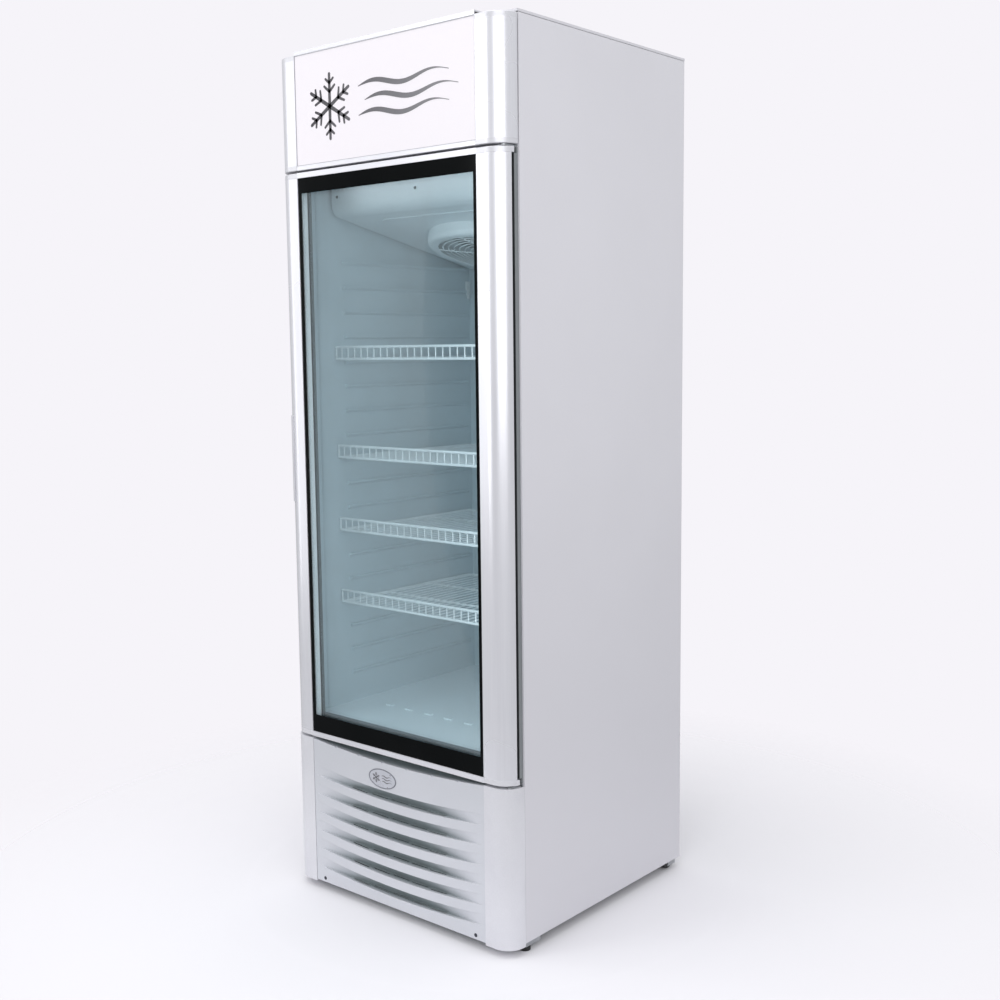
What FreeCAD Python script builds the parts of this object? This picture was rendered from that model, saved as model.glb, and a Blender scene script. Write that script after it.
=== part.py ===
import FreeCAD, Part
import os
from math import acos, atan2, cos, degrees, pi, radians, sin

# Single door reach-in display refrigerator. Millimetres, +Z up, front towards -Y.
# Depths are measured back from the front face of the door and columns.

V = FreeCAD.Vector
os.makedirs("parts", exist_ok=True)

# ---------------------------------------------------------------- driving sizes
HEIGHT = 1980.0
WIDTH = 690.0
DEPTH = 668.0
HALF = WIDTH / 2
FRONT_Y = -DEPTH / 2

SEAM_X = 272.5          # half width of the flat panels between the side columns
CORNER_R = 49.0         # column and door stile corner radius
KICK_CORNER_R = 43.5
SHEET = 1.2             # painted steel
LINER = 2.5             # vacuum formed liner
COLUMN_WALL = 2.5

BASE_GAP = 25.0         # underside of the side panels
SIDE_FRONT = 50.0       # depth of the side panel's front edge
SIDE_BACK = 666.8
SIDE_TOP = 1973.0
SIDE_RETURN = 20.0

DOOR_BOTTOM = 383.5
DOOR_TOP = 1711.0
RAIL_H = 12.0
DOOR_REAR = 30.0        # rear face of the stiles
CAP_REAR = 36.0         # rear face of the door's corner caps
HEADER_BOTTOM = 1716.0
HEADER_RAIL_H = 10.0
COLUMN_TOP = 1972.0
CAP_H = 11.0
KICK_TOP = 378.0
KICK_BOTTOM = 22.5

FRAME_FRONT = 38.0      # cabinet front frame that the gasket seals on
LINER_X = 300.0
LINER_BACK = 622.0
FLOOR_Z = 430.0
CEILING_Z = 1925.0
SKIRT_D = 99.0          # front wall of the evaporator space
SKIRT_Z = 1692.0
DECK_Z = 384.0          # top of the machine compartment

HINGE_X = 328.0
HINGE_D = 22.0
PIN_R = 3.5
RUN_FIT = 0.05

SHELF_DECKS = (1286.0, 1048.0, 869.5, 691.0)
SHELF_FRONT = 128.0
SHELF_BACK = 598.0
RIB_PITCH = 59.5


# ---------------------------------------------------------------- helpers
def save(name, shape):
    shape.exportStep("parts/" + name + ".step")


def box(x0, x1, d0, d1, z0, z1):
    """Box between two x, two depths and two heights."""
    return Part.makeBox(x1 - x0, d1 - d0, z1 - z0, V(x0, FRONT_Y + d0, z0))


def mirror_x(shape):
    return shape.mirror(V(0, 0, 0), V(1, 0, 0))


def both(shape):
    """The shape and its mirror image as two separate solids."""
    return Part.makeCompound([shape, mirror_x(shape)])


def rod(radius, start, end):
    """Round bar between two (x, depth, z) points."""
    a = V(start[0], FRONT_Y + start[1], start[2])
    b = V(end[0], FRONT_Y + end[1], end[2])
    return Part.makeCylinder(radius, (b - a).Length, a, b - a)


def post(radius, x, depth, z0, z1):
    return rod(radius, (x, depth, z0), (x, depth, z1))


def fuse(shapes):
    out = shapes[0].multiFuse(shapes[1:])
    return out.removeSplitter()


def plan(points, z0, z1):
    """Extrude a polygon of (x, depth) points from z0 to z1."""
    pts = [V(x, FRONT_Y + d, z0) for x, d in points]
    face = Part.Face(Part.makePolygon(pts + [pts[0]]))
    return face.extrude(V(0, 0, z1 - z0))


def side_view(points, x0, x1):
    """Extrude a polygon of (depth, z) points from x0 to x1."""
    pts = [V(x0, FRONT_Y + d, z) for d, z in points]
    face = Part.Face(Part.makePolygon(pts + [pts[0]]))
    return face.extrude(V(x1 - x0, 0, 0))


def ring(x_out, x_in, d0, d1, z0, z1, z0_in, z1_in):
    """Four separate bars round a rectangular opening."""
    return [
        box(-x_out, -x_in, d0, d1, z0, z1),
        box(x_in, x_out, d0, d1, z0, z1),
        box(-x_in, x_in, d0, d1, z0, z0_in),
        box(-x_in, x_in, d0, d1, z1_in, z1),
    ]


def arc_point(radius, centre_r, angle):
    """Point on the corner arc, angle measured from the front face."""
    return (HALF - centre_r + radius * sin(angle), centre_r - radius * cos(angle))


def corner_edges(x_start, radius, centre_r, depth_end, z):
    """Edges along the front face, round the corner and back to a depth."""
    def vec(p):
        return V(p[0], FRONT_Y + p[1], z)
    face_d = centre_r - radius
    edges = [Part.makeLine(vec((x_start, face_d)), vec((HALF - centre_r, face_d)))]
    turn = pi / 2
    if depth_end < centre_r:
        turn = acos((centre_r - depth_end) / radius)
    end = arc_point(radius, centre_r, turn)
    mid = arc_point(radius, centre_r, turn / 2)
    start = (HALF - centre_r, face_d)
    edges.append(Part.Arc(vec(start), vec(mid), vec(end)).toShape())
    if depth_end > centre_r:
        last = (end[0], depth_end)
        edges.append(Part.makeLine(vec(end), vec(last)))
        end = last
    return edges, end


def column_shell(x_start, centre_r, depth_end, z0, z1, wall):
    """Curved sheet that wraps from the front face round to the side."""
    outer, end_o = corner_edges(x_start, centre_r, centre_r, depth_end, z0)
    inner, end_i = corner_edges(x_start, centre_r - wall, centre_r, depth_end, z0)
    def vec(p):
        return V(p[0], FRONT_Y + p[1], z0)
    close = [
        Part.makeLine(vec(end_o), vec(end_i)),
        Part.makeLine(vec((x_start, wall)), vec((x_start, 0))),
    ]
    wire = Part.Wire(Part.__sortEdges__(outer + inner + close))
    return Part.Face(wire).extrude(V(0, 0, z1 - z0))


def front_rim(block, z, depth_end):
    """The block's horizontal edges at z that run along its front and round its corner."""
    found = []
    for e in block.Edges:
        if any(abs(v.Point.z - z) > 0.01 for v in e.Vertexes):
            continue
        reach = max(v.Point.x for v in e.Vertexes)
        nearest = min(v.Point.y for v in e.Vertexes) - FRONT_Y
        if reach > SEAM_X + 1 and nearest < depth_end - 1:
            found.append(e)
    return found


def column_block(x_start, centre_r, depth_end, z0, z1, inset=0.0):
    """Solid block with the column's outline, optionally inset all round."""
    outer, end = corner_edges(x_start, centre_r - inset, centre_r, depth_end, z0)
    def vec(p):
        return V(p[0], FRONT_Y + p[1], z0)
    back = (x_start, depth_end)
    close = [
        Part.makeLine(vec(end), vec(back)),
        Part.makeLine(vec(back), vec((x_start, inset))),
    ]
    wire = Part.Wire(Part.__sortEdges__(outer + close))
    return Part.Face(wire).extrude(V(0, 0, z1 - z0))


# ---------------------------------------------------------------- cabinet skins
def side_panel():
    inner = HALF - SHEET
    turn = HALF - SIDE_RETURN
    pts = [
        (turn, SIDE_FRONT), (HALF, SIDE_FRONT), (HALF, SIDE_BACK), (turn, SIDE_BACK),
        (turn, SIDE_BACK - SHEET), (inner, SIDE_BACK - SHEET),
        (inner, SIDE_FRONT + SHEET), (turn, SIDE_FRONT + SHEET),
    ]
    return plan(pts, BASE_GAP, SIDE_TOP)


right = side_panel()
save("side_panel_right", right)
save("side_panel_left", mirror_x(right))

ROOF_TOP = 1979.5
ROOF_FLANGE = 5.6
roof_front = SIDE_FRONT - 3.0
roof = box(-HALF, HALF, roof_front, DEPTH, ROOF_TOP - ROOF_FLANGE, ROOF_TOP)
roof = roof.cut(box(-HALF + SHEET, HALF - SHEET, roof_front + SHEET, DEPTH - SHEET,
                    ROOF_TOP - ROOF_FLANGE - 1, ROOF_TOP - SHEET))
save("top_panel", roof)

back = box(-HALF + SHEET, HALF - SHEET, SIDE_BACK, DEPTH, FLOOR_Z, SIDE_TOP)
for z in (640.0, 1240.0, 1840.0):
    for x in (-160.0, 160.0):
        back = back.cut(box(x - 90, x + 90, DEPTH - 0.6, DEPTH + 1, z - 20, z + 20))
save("back_panel", back)

deck = box(-HALF + SHEET, HALF - SHEET, SIDE_FRONT + SHEET, SIDE_BACK - SHEET,
           DECK_Z - SHEET, DECK_Z)
save("machine_deck", deck)

FOAM_TOP = 1972.0
skin_x = HALF - SHEET
foam_x = LINER_X + LINER
foam_f = SIDE_FRONT + SHEET
foam_b = SIDE_BACK - SHEET
liner_rear = LINER_BACK + LINER
foam_side = box(foam_x, skin_x, foam_f, foam_b, DECK_Z, FOAM_TOP)
foam = [
    foam_side,
    mirror_x(foam_side),
    box(-foam_x, foam_x, liner_rear, foam_b, DECK_Z, FOAM_TOP),
    box(-foam_x, foam_x, foam_f, liner_rear, CEILING_Z + LINER, FOAM_TOP),
    box(-foam_x, foam_x, foam_f, liner_rear, DECK_Z, FLOOR_Z - LINER),
    box(-LINER_X, LINER_X, foam_f, SKIRT_D, SKIRT_Z, CEILING_Z + LINER),
]
save("foam_insulation", Part.makeCompound(foam))


# ---------------------------------------------------------------- liner
RIB_DEPTH = 7.0
RIB_H = 9.0
RIB_FRONT = 158.0
RIB_BACK = 606.0


def shelf_rib(z_top):
    """Round ended ledge standing in from the liner wall, chamfered below."""
    x = LINER_X - RIB_DEPTH
    body = box(x, LINER_X, RIB_FRONT, RIB_BACK, z_top - RIB_H, z_top)
    low = z_top - RIB_H
    lower = [e for e in body.Edges
             if all(abs(v.Point.z - low) < 0.01 and abs(v.Point.x - x) < 0.01
                    for v in e.Vertexes)]
    body = body.makeChamfer(5.0, lower)
    ends = [e for e in body.Edges
            if all(abs(v.Point.x - x) < 0.01 for v in e.Vertexes)
            and abs(e.Vertexes[0].Point.y - e.Vertexes[1].Point.y) < 0.01]
    return body.makeFillet(3.0, ends)


def liner_side():
    parts = [box(LINER_X, LINER_X + LINER, SIDE_FRONT, LINER_BACK + LINER,
                 FLOOR_Z - LINER, CEILING_Z + LINER)]
    wire_drop = 3.0
    for k in range(18):
        z = SHELF_DECKS[0] - wire_drop + RIB_PITCH * (4 - k)
        if z > FLOOR_Z + 40:
            parts.append(shelf_rib(z))
    return fuse(parts)


right = liner_side()
save("liner_right", right)
save("liner_left", mirror_x(right))

back_liner = [box(-LINER_X, LINER_X, LINER_BACK, LINER_BACK + LINER,
                  FLOOR_Z - LINER, CEILING_Z + LINER)]
for k in range(-3, 4):
    x = 75.0 * k
    back_liner.append(box(x - 6, x + 6, LINER_BACK - 5, LINER_BACK, FLOOR_Z + 40, 1490.0))
save("liner_back", fuse(back_liner))

FLOOR_MARK_PITCH = 65.0
floor = [box(-LINER_X, LINER_X, SIDE_FRONT, LINER_BACK, FLOOR_Z - LINER, FLOOR_Z)]
for k in range(-3, 4):
    x = FLOOR_MARK_PITCH * k
    floor.append(box(x - 11, x + 11, 183.0, 191.0, FLOOR_Z, FLOOR_Z + 3))
floor = fuse(floor)
DRAIN_X = 0.0
DRAIN_D = 585.0
floor = floor.cut(post(9.0, DRAIN_X, DRAIN_D, FLOOR_Z - 10, FLOOR_Z + 5))
save("liner_floor", floor)

ceiling = fuse([
    box(-LINER_X, LINER_X, SKIRT_D, LINER_BACK, CEILING_Z, CEILING_Z + LINER),
    box(-LINER_X, LINER_X, SKIRT_D, SKIRT_D + LINER, SKIRT_Z - LINER, CEILING_Z),
    box(-LINER_X, LINER_X, SIDE_FRONT, SKIRT_D + LINER, SKIRT_Z - LINER, SKIRT_Z),
])
save("liner_ceiling", ceiling)

FRAME_X = 341.0
FRAME_IN_X = 292.0
FRAME_Z0 = 384.0
FRAME_Z1 = 1710.0
FRAME_IN_Z1 = 1678.0
LAND_Z0 = 397.0         # the gasket land stands forward between these heights
LAND_Z1 = 1698.0
FLANGE_D = 46.0
land = ring(FRAME_X, FRAME_IN_X, FRAME_FRONT, SIDE_FRONT, LAND_Z0, LAND_Z1, FLOOR_Z, FRAME_IN_Z1)
flange = ring(FRAME_X, FRAME_IN_X, FLANGE_D, SIDE_FRONT, FRAME_Z0, FRAME_Z1, LAND_Z0, LAND_Z1)
save("front_frame", Part.makeCompound([fuse(list(pair)) for pair in zip(land, flange)]))

# ---------------------------------------------------------------- header
PANEL_X = 272.0
PANEL_D = 1.5
sign = box(-PANEL_X, PANEL_X, PANEL_D, PANEL_D + 3.0,
           HEADER_BOTTOM + HEADER_RAIL_H - 1, HEIGHT - HEADER_RAIL_H + 1)
save("header_panel", sign)


def header_rail(z0, z1, wall_z0, wall_z1):
    """Angle section: a face strip in front of the sign and a wall behind it."""
    lip = box(-PANEL_X, PANEL_X, 0, PANEL_D, z0, z1)
    wall = box(-PANEL_X, PANEL_X, PANEL_D, SIDE_FRONT - 4, wall_z0, wall_z1)
    rail = fuse([lip, wall])
    front = [e for e in rail.Edges
             if all(abs(v.Point.y - FRONT_Y) < 0.01 for v in e.Vertexes)
             and abs(e.Vertexes[0].Point.z - e.Vertexes[1].Point.z) < 0.01]
    return rail.makeFillet(1.0, front)


top_rail = header_rail(HEIGHT - HEADER_RAIL_H, HEIGHT, HEIGHT - 3, HEIGHT)
low_rail = header_rail(HEADER_BOTTOM, HEADER_BOTTOM + HEADER_RAIL_H,
                       HEADER_BOTTOM, HEADER_BOTTOM + 3)
save("header_rails", Part.makeCompound([top_rail, low_rail]))

HEADER_COLUMN_BACK = 46.0
shell = column_shell(SEAM_X, CORNER_R, HEADER_COLUMN_BACK,
                     HEADER_BOTTOM + CAP_H, COLUMN_TOP - CAP_H, COLUMN_WALL)
save("header_columns", both(shell))


def cap(z0, z1, centre_r, depth_end, round_top):
    block = column_block(SEAM_X, centre_r, depth_end, z0, z1)
    z_edge = z1 if round_top else z0
    rim = [e for e in block.Edges
           if all(abs(v.Point.z - z_edge) < 0.01 for v in e.Vertexes)
           and all(v.Point.y < FRONT_Y + depth_end - 0.01 or v.Point.x > HALF - 20
                   for v in e.Vertexes)
           and max(v.Point.x for v in e.Vertexes) > SEAM_X + 1
           and min(v.Point.y for v in e.Vertexes) < FRONT_Y + depth_end - 1]
    return block.makeFillet(2.0, rim)


top_cap = cap(COLUMN_TOP - CAP_H, COLUMN_TOP, CORNER_R, HEADER_COLUMN_BACK, True)
low_cap = cap(HEADER_BOTTOM, HEADER_BOTTOM + CAP_H, CORNER_R, HEADER_COLUMN_BACK, False)
save("header_caps", Part.makeCompound([top_cap, mirror_x(top_cap), low_cap, mirror_x(low_cap)]))

TRAY_X = 268.0
TRAY_Z0 = 1730.0
TRAY_Z1 = 1966.0
TRAY_FRONT = 5.0
TRAY_BACK = SIDE_FRONT - 5.0
tray = box(-TRAY_X, TRAY_X, TRAY_FRONT, TRAY_BACK, TRAY_Z0, TRAY_Z1)
tray = tray.cut(box(-TRAY_X + SHEET, TRAY_X - SHEET, TRAY_FRONT - 1, TRAY_BACK - SHEET,
                    TRAY_Z0 + SHEET, TRAY_Z1 - SHEET))
tray = fuse([tray, box(-HALF + SIDE_RETURN, HALF - SIDE_RETURN, TRAY_BACK - SHEET,
                       TRAY_BACK, TRAY_Z0, COLUMN_TOP - CAP_H - 2)])
for x in (-200.0, 200.0):
    tray = fuse([tray, box(x - 3, x + 3, 32.2, TRAY_BACK - SHEET, 1905.0, 1921.0)])
LAMP_Z = 1913.0
LAMP_D = 24.0
holder = box(236.0, 248.0, 14.0, TRAY_BACK - SHEET, LAMP_Z - 14, LAMP_Z + 14)
driver = box(-90.0, 90.0, 22.0, TRAY_BACK - SHEET, 1752.0, 1792.0)
save("header_reflector", Part.makeCompound([tray, holder, mirror_x(holder), driver]))
lamp = fuse([
    rod(8.0, (-228, LAMP_D, LAMP_Z), (228, LAMP_D, LAMP_Z)),
    rod(8.3, (-234, LAMP_D, LAMP_Z), (-222, LAMP_D, LAMP_Z)),
    rod(8.3, (222, LAMP_D, LAMP_Z), (234, LAMP_D, LAMP_Z)),
    rod(1.2, (-236, LAMP_D, LAMP_Z), (236, LAMP_D, LAMP_Z)),
])
save("header_lamp", lamp)

# ---------------------------------------------------------------- evaporator
NOSE_D = 122.0
NOSE_R = 34.0
NOSE_Z = 1622.0
SLOPE_BACK_D = 616.0
SLOPE_BACK_Z = 1519.0
SLOPE_START_D = 140.0
COVER_X = 291.0
SLOPE = atan2(NOSE_Z - SLOPE_BACK_Z, SLOPE_BACK_D - SLOPE_START_D)


def slope_z(depth):
    """Height of the cover's sloping underside at a depth."""
    part = (depth - SLOPE_START_D) / (SLOPE_BACK_D - SLOPE_START_D)
    return NOSE_Z + (SLOPE_BACK_Z - NOSE_Z) * part


def cover_profile(inset):
    """Front wall, rounded nose and sloping underside, as one side-view wire."""
    front = NOSE_D + inset
    lift = inset / cos(SLOPE)
    round_end = SLOPE_START_D + 12
    reach = round_end - front
    p_top = V(0, FRONT_Y + front, CEILING_Z)
    p_nose = V(0, FRONT_Y + front, NOSE_Z + NOSE_R)
    p_low = V(0, FRONT_Y + round_end, slope_z(round_end) + lift)
    drop = p_nose.z - p_low.z
    p_mid = V(0, FRONT_Y + front + reach * 0.24, p_low.z + drop * 0.27)
    p_back = V(0, FRONT_Y + SLOPE_BACK_D, slope_z(SLOPE_BACK_D) + lift)
    p_end = V(0, FRONT_Y + SLOPE_BACK_D, CEILING_Z)
    edges = [
        Part.makeLine(p_top, p_nose),
        Part.Arc(p_nose, p_mid, p_low).toShape(),
        Part.makeLine(p_low, p_back),
        Part.makeLine(p_back, p_end),
        Part.makeLine(p_end, p_top),
    ]
    return Part.Face(Part.Wire(edges))


COVER_T = 2.0
FAN_X = 0.0
FAN_D = 415.0
FAN_Z = slope_z(FAN_D)
FAN_HOLE_R = 130.0


def on_slope(local):
    """Place a shape made round the origin (outward along -Z) on the underside."""
    local = local.copy()
    local.rotate(V(0, 0, 0), V(1, 0, 0), -degrees(SLOPE))
    local.translate(V(FAN_X, FRONT_Y + FAN_D, FAN_Z))
    return local


def disc(radius, z0, z1):
    return Part.makeCylinder(radius, z1 - z0, V(0, 0, z0))


outer = cover_profile(0.0).extrude(V(2 * COVER_X, 0, 0))
outer.translate(V(-COVER_X, 0, 0))
inner = cover_profile(COVER_T).extrude(V(2 * (COVER_X - COVER_T), 0, 0))
inner.translate(V(-COVER_X + COVER_T, 0, 0))
PAD_T = 3.0
pad = Part.makeBox(400.0, 436.0, PAD_T, V(-200, -242, -PAD_T))
uprights = [e for e in pad.Edges
            if abs(e.Vertexes[0].Point.z - e.Vertexes[1].Point.z) > PAD_T - 0.1]
pad = on_slope(pad.makeFillet(36.0, uprights))
cover = fuse([outer, pad]).cut(inner)
cover = cover.cut(box(-COVER_X + COVER_T, COVER_X - COVER_T, SLOPE_BACK_D - 10,
                      SLOPE_BACK_D + 5, SLOPE_BACK_Z + 60, CEILING_Z - 5))
cover = cover.cut(on_slope(disc(FAN_HOLE_R, -12, 12)))
for k in range(9):
    x = -240.0 + 60.0 * k
    cover = cover.cut(box(x - 22, x + 22, NOSE_D - 2, NOSE_D + COVER_T + 2, 1690.0, 1694.0))
KNOB_X = 240.0
KNOB_D = 190.0
KNOB_SHAFT_R = 4.0
cover = cover.cut(post(KNOB_SHAFT_R + RUN_FIT, KNOB_X, KNOB_D, 1580.0, 1660.0))
save("evaporator_cover", cover)

GUARD_R = 185.0
GUARD_DROP = 34.0
GUARD_FACE_R = 158.0
drum = disc(GUARD_R, -GUARD_DROP, -PAD_T)
lower_rim = [e for e in drum.Edges if abs(e.Vertexes[0].Point.z + GUARD_DROP) < 0.01
             and e.Length > 500]
drum = drum.makeFillet(12.0, lower_rim)
hollow = disc(GUARD_R - 2.4, -GUARD_DROP + 2.4, 0.0)
hollow = hollow.makeFillet(9.0, [e for e in hollow.Edges
                                 if abs(e.Vertexes[0].Point.z + GUARD_DROP - 2.4) < 0.01
                                 and e.Length > 500])
drum = drum.cut(hollow).cut(disc(GUARD_FACE_R, -GUARD_DROP - 2, 0))
face_z = -GUARD_DROP + 1.6
guard = [drum, disc(26.0, face_z - 1.6, face_z + 1.6)]
for k in range(9):
    guard.append(Part.makeTorus(38.0 + 13.5 * k, 1.5, V(0, 0, face_z)))
for k in range(6):
    spoke = Part.makeCylinder(1.9, GUARD_FACE_R - 18, V(20, 0, face_z), V(1, 0, 0))
    spoke.rotate(V(0, 0, 0), V(0, 0, 1), 60.0 * k + 30)
    guard.append(spoke)
save("evaporator_fan_guard", on_slope(fuse(guard)))

FAN_SHAFT_R = 3.0


def fan_blades(hub_r, tip_r, blades, pitch, z_mid, chord, bore):
    """Moulded axial impeller round the Z axis with a blind bore from above."""
    solids = [disc(hub_r, z_mid - 9, z_mid + 9)]
    for k in range(blades):
        blade = Part.makeBox(tip_r - hub_r + 4, chord, 1.8, V(hub_r - 4, -chord / 2, -0.9))
        blade.rotate(V(0, 0, 0), V(1, 0, 0), pitch)
        blade.translate(V(0, 0, z_mid))
        blade.rotate(V(0, 0, 0), V(0, 0, 1), 360.0 * k / blades)
        solids.append(blade)
    whole = fuse(solids)
    whole = whole.common(disc(tip_r, z_mid - 60, z_mid + 60))
    return whole.cut(disc(bore, z_mid - 6, z_mid + 12))


EVAP_TIP_R = 122.0
BLADE_MID = 24.0
save("evaporator_fan_blade",
     on_slope(fan_blades(28.0, EVAP_TIP_R, 5, 22.0, BLADE_MID, 56.0, FAN_SHAFT_R + RUN_FIT)))

MOTOR_Z0 = 50.0
motor = [disc(30.0, MOTOR_Z0, MOTOR_Z0 + 40), disc(FAN_SHAFT_R, BLADE_MID - 5.5, MOTOR_Z0 + 10)]
for k in range(3):
    arm = Part.makeBox(FAN_HOLE_R + 8, 8, 3, V(0, -4, MOTOR_Z0 + 14))
    leg = Part.makeBox(8, 8, MOTOR_Z0 + 17 - COVER_T - 0.02, V(FAN_HOLE_R + 3, -4, COVER_T + 0.02))
    spider = fuse([arm, leg])
    spider.rotate(V(0, 0, 0), V(0, 0, 1), 120.0 * k + 90)
    motor.append(spider)
save("evaporator_fan_motor", on_slope(fuse(motor)))


def finned_coil(x0, x1, d0, d1, z0, z1, fins, tubes_d, tubes_z):
    """Fin pack: fins on straight tubes."""
    solids = []
    step = (x1 - x0 - 2) / (fins - 1)
    for k in range(fins):
        x = x0 + step * k
        solids.append(box(x, x + 1.0, d0, d1, z0, z1))
    for depth in tubes_d:
        for z in tubes_z:
            solids.append(rod(4.5, (x0 - 10, depth, z), (x1 + 10, depth, z)))
    return fuse(solids)


coil = finned_coil(-235.0, 235.0, 470.0, 600.0, 1640.0, 1880.0, 25,
                   (500.0, 570.0), (1680.0, 1760.0, 1840.0))
hanger = [box(x - 1, x + 1, 500.0, 570.0, 1845.0, CEILING_Z) for x in (-234.0, 234.0)]
save("evaporator_coil", fuse([coil] + hanger))

# The knob hangs under the cover's right end on its own thermostat shaft.
knob_z = slope_z(KNOB_D)
knob = fuse([
    post(15.0, KNOB_X, KNOB_D, knob_z - 17.0, knob_z - 5.0),
    post(KNOB_SHAFT_R, KNOB_X, KNOB_D, knob_z - 6.0, knob_z + 16.0),
    box(KNOB_X - 1.5, KNOB_X + 1.5, KNOB_D - 13.5, KNOB_D + 13.5, knob_z - 20.0, knob_z - 16.0),
])
save("thermostat_knob", knob)

sensor = fuse([
    box(LINER_X - 9, LINER_X, 606.0, 617.0, 1450.0, 1486.0),
    rod(4.0, (LINER_X - 5, 611.5, 1440.0), (LINER_X - 5, 611.5, 1455.0)),
])
save("temperature_sensor", mirror_x(sensor))

# ---------------------------------------------------------------- shelves
SHELF_X = 297.0
WIRE_R = 1.6
FRAME_R = 3.0
LIP_H = 28.5
WIRE_PITCH = 22.0


def wire_shelf(deck):
    """Wire deck and the upstand lip welded on its front wire. deck is the deck wires' height."""
    solids = []
    low = deck
    top = deck + LIP_H
    edge_x = SHELF_X - FRAME_R
    rail_x = LINER_X - RIB_DEPTH - 1.5
    for x in (-edge_x, edge_x):
        solids.append(rod(FRAME_R, (x, SHELF_FRONT, low), (x, SHELF_BACK, low)))
    for depth in (SHELF_FRONT, SHELF_BACK):
        solids.append(rod(FRAME_R, (-edge_x, depth, low), (edge_x, depth, low)))
    lip = [rod(FRAME_R, (-edge_x, SHELF_FRONT, top), (edge_x, SHELF_FRONT, top))]
    weld = low + FRAME_R
    for x in (-edge_x, edge_x):
        for depth in (SHELF_FRONT, SHELF_BACK):
            solids.append(Part.makeSphere(FRAME_R, V(x, FRONT_Y + depth, low)))
        lip.append(Part.makeSphere(FRAME_R, V(x, FRONT_Y + SHELF_FRONT, top)))
        lip.append(post(FRAME_R - 0.5, x, SHELF_FRONT, weld, top))
    for depth in (285.0, 442.0):
        solids.append(rod(2.5, (-rail_x, depth, low - 2.2), (rail_x, depth, low - 2.2)))
    count = int(2 * edge_x / WIRE_PITCH)
    start = -WIRE_PITCH * (count - 1) / 2
    for k in range(count):
        x = start + WIRE_PITCH * k
        solids.append(rod(WIRE_R, (x, SHELF_FRONT, low + 1.0), (x, SHELF_BACK, low + 1.0)))
        lip.append(post(WIRE_R, x, SHELF_FRONT, weld, top))
    return Part.makeCompound([solids[0].multiFuse(solids[1:]), lip[0].multiFuse(lip[1:])])


first = wire_shelf(SHELF_DECKS[0])
for k, deck_z in enumerate(SHELF_DECKS):
    shelf = first.copy()
    shelf.translate(V(0, 0, deck_z - SHELF_DECKS[0]))
    save("shelf_%d" % (k + 1), shelf)

# ---------------------------------------------------------------- base
PAN_Z = 28.0
PAN_T = 1.5
PAN_FRONT = 56.0
PAN_BACK = 662.0
PAN_X = HALF - SHEET
FOOT_X = 325.0
FOOT_D = 70.0
STUD_R = 5.0
ROLLER_X = 322.0
ROLLER_D = 636.0
ROLLER_R = 22.0
AXLE_R = 4.0

base = [
    box(-PAN_X, PAN_X, PAN_FRONT, PAN_BACK, PAN_Z, PAN_Z + PAN_T),
    box(-PAN_X, PAN_X, PAN_FRONT, PAN_FRONT + PAN_T, PAN_Z, PAN_Z + 22),
    box(-PAN_X, PAN_X, PAN_BACK - PAN_T, PAN_BACK, PAN_Z, PAN_Z + 22),
]
for side in (-1, 1):
    x_foot = side * FOOT_X
    x_in = min(side * 302.0, side * 342.0)
    x_out = max(side * 302.0, side * 342.0)
    base.append(box(x_in, x_out, 54.0, 104.0, 14.0, 16.5))
    base.append(box(x_in, x_in + 2, 54.0, 104.0, 14.0, PAN_Z + 1))
    base.append(box(x_out - 2, x_out, 54.0, 104.0, 14.0, PAN_Z + 1))
    base.append(post(9.0, x_foot, FOOT_D, 15.0, PAN_Z + 8))
    for x in (side * 304.0, side * 340.0):
        base.append(box(x - 1, x + 1, ROLLER_D - 16, ROLLER_D + 16, 12.0, PAN_Z + PAN_T + 20))
base = fuse(base)
for side in (-1, 1):
    x_foot = side * FOOT_X
    x_roll = side * ROLLER_X
    base = base.cut(post(STUD_R + RUN_FIT, x_foot, FOOT_D, 10.0, 60.0))
    base = base.cut(box(x_roll - 14, x_roll + 14, ROLLER_D - 25, ROLLER_D + 24.4, 20.0, 60.0))
for side in (-1, 1):
    ends = (side * 302.0, side * 342.0)
    base = fuse([base, rod(AXLE_R, (ends[0], ROLLER_D, ROLLER_R), (ends[1], ROLLER_D, ROLLER_R))])
save("base_frame", base)


def levelling_foot():
    pad = post(13.0, FOOT_X, FOOT_D, 0.0, 9.0)
    rim = [e for e in pad.Edges if all(abs(v.Point.z - 9.0) < 0.01 for v in e.Vertexes)]
    pad = pad.makeFillet(2.5, [e for e in rim if e.Length > 20])
    stud = post(STUD_R, FOOT_X, FOOT_D, 5.0, 52.0)
    return fuse([pad, stud])


right = levelling_foot()
save("levelling_foot_right", right)
save("levelling_foot_left", mirror_x(right))


def rear_roller():
    wheel = rod(ROLLER_R, (ROLLER_X - 9, ROLLER_D, ROLLER_R), (ROLLER_X + 9, ROLLER_D, ROLLER_R))
    wheel = wheel.makeChamfer(1.5, [e for e in wheel.Edges if e.Length > 100])
    hub = rod(9.0, (ROLLER_X - 12, ROLLER_D, ROLLER_R), (ROLLER_X + 12, ROLLER_D, ROLLER_R))
    bore = rod(AXLE_R + RUN_FIT, (ROLLER_X - 20, ROLLER_D, ROLLER_R),
               (ROLLER_X + 20, ROLLER_D, ROLLER_R))
    return fuse([wheel, hub]).cut(bore)


right = rear_roller()
save("rear_roller_right", right)
save("rear_roller_left", mirror_x(right))

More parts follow.
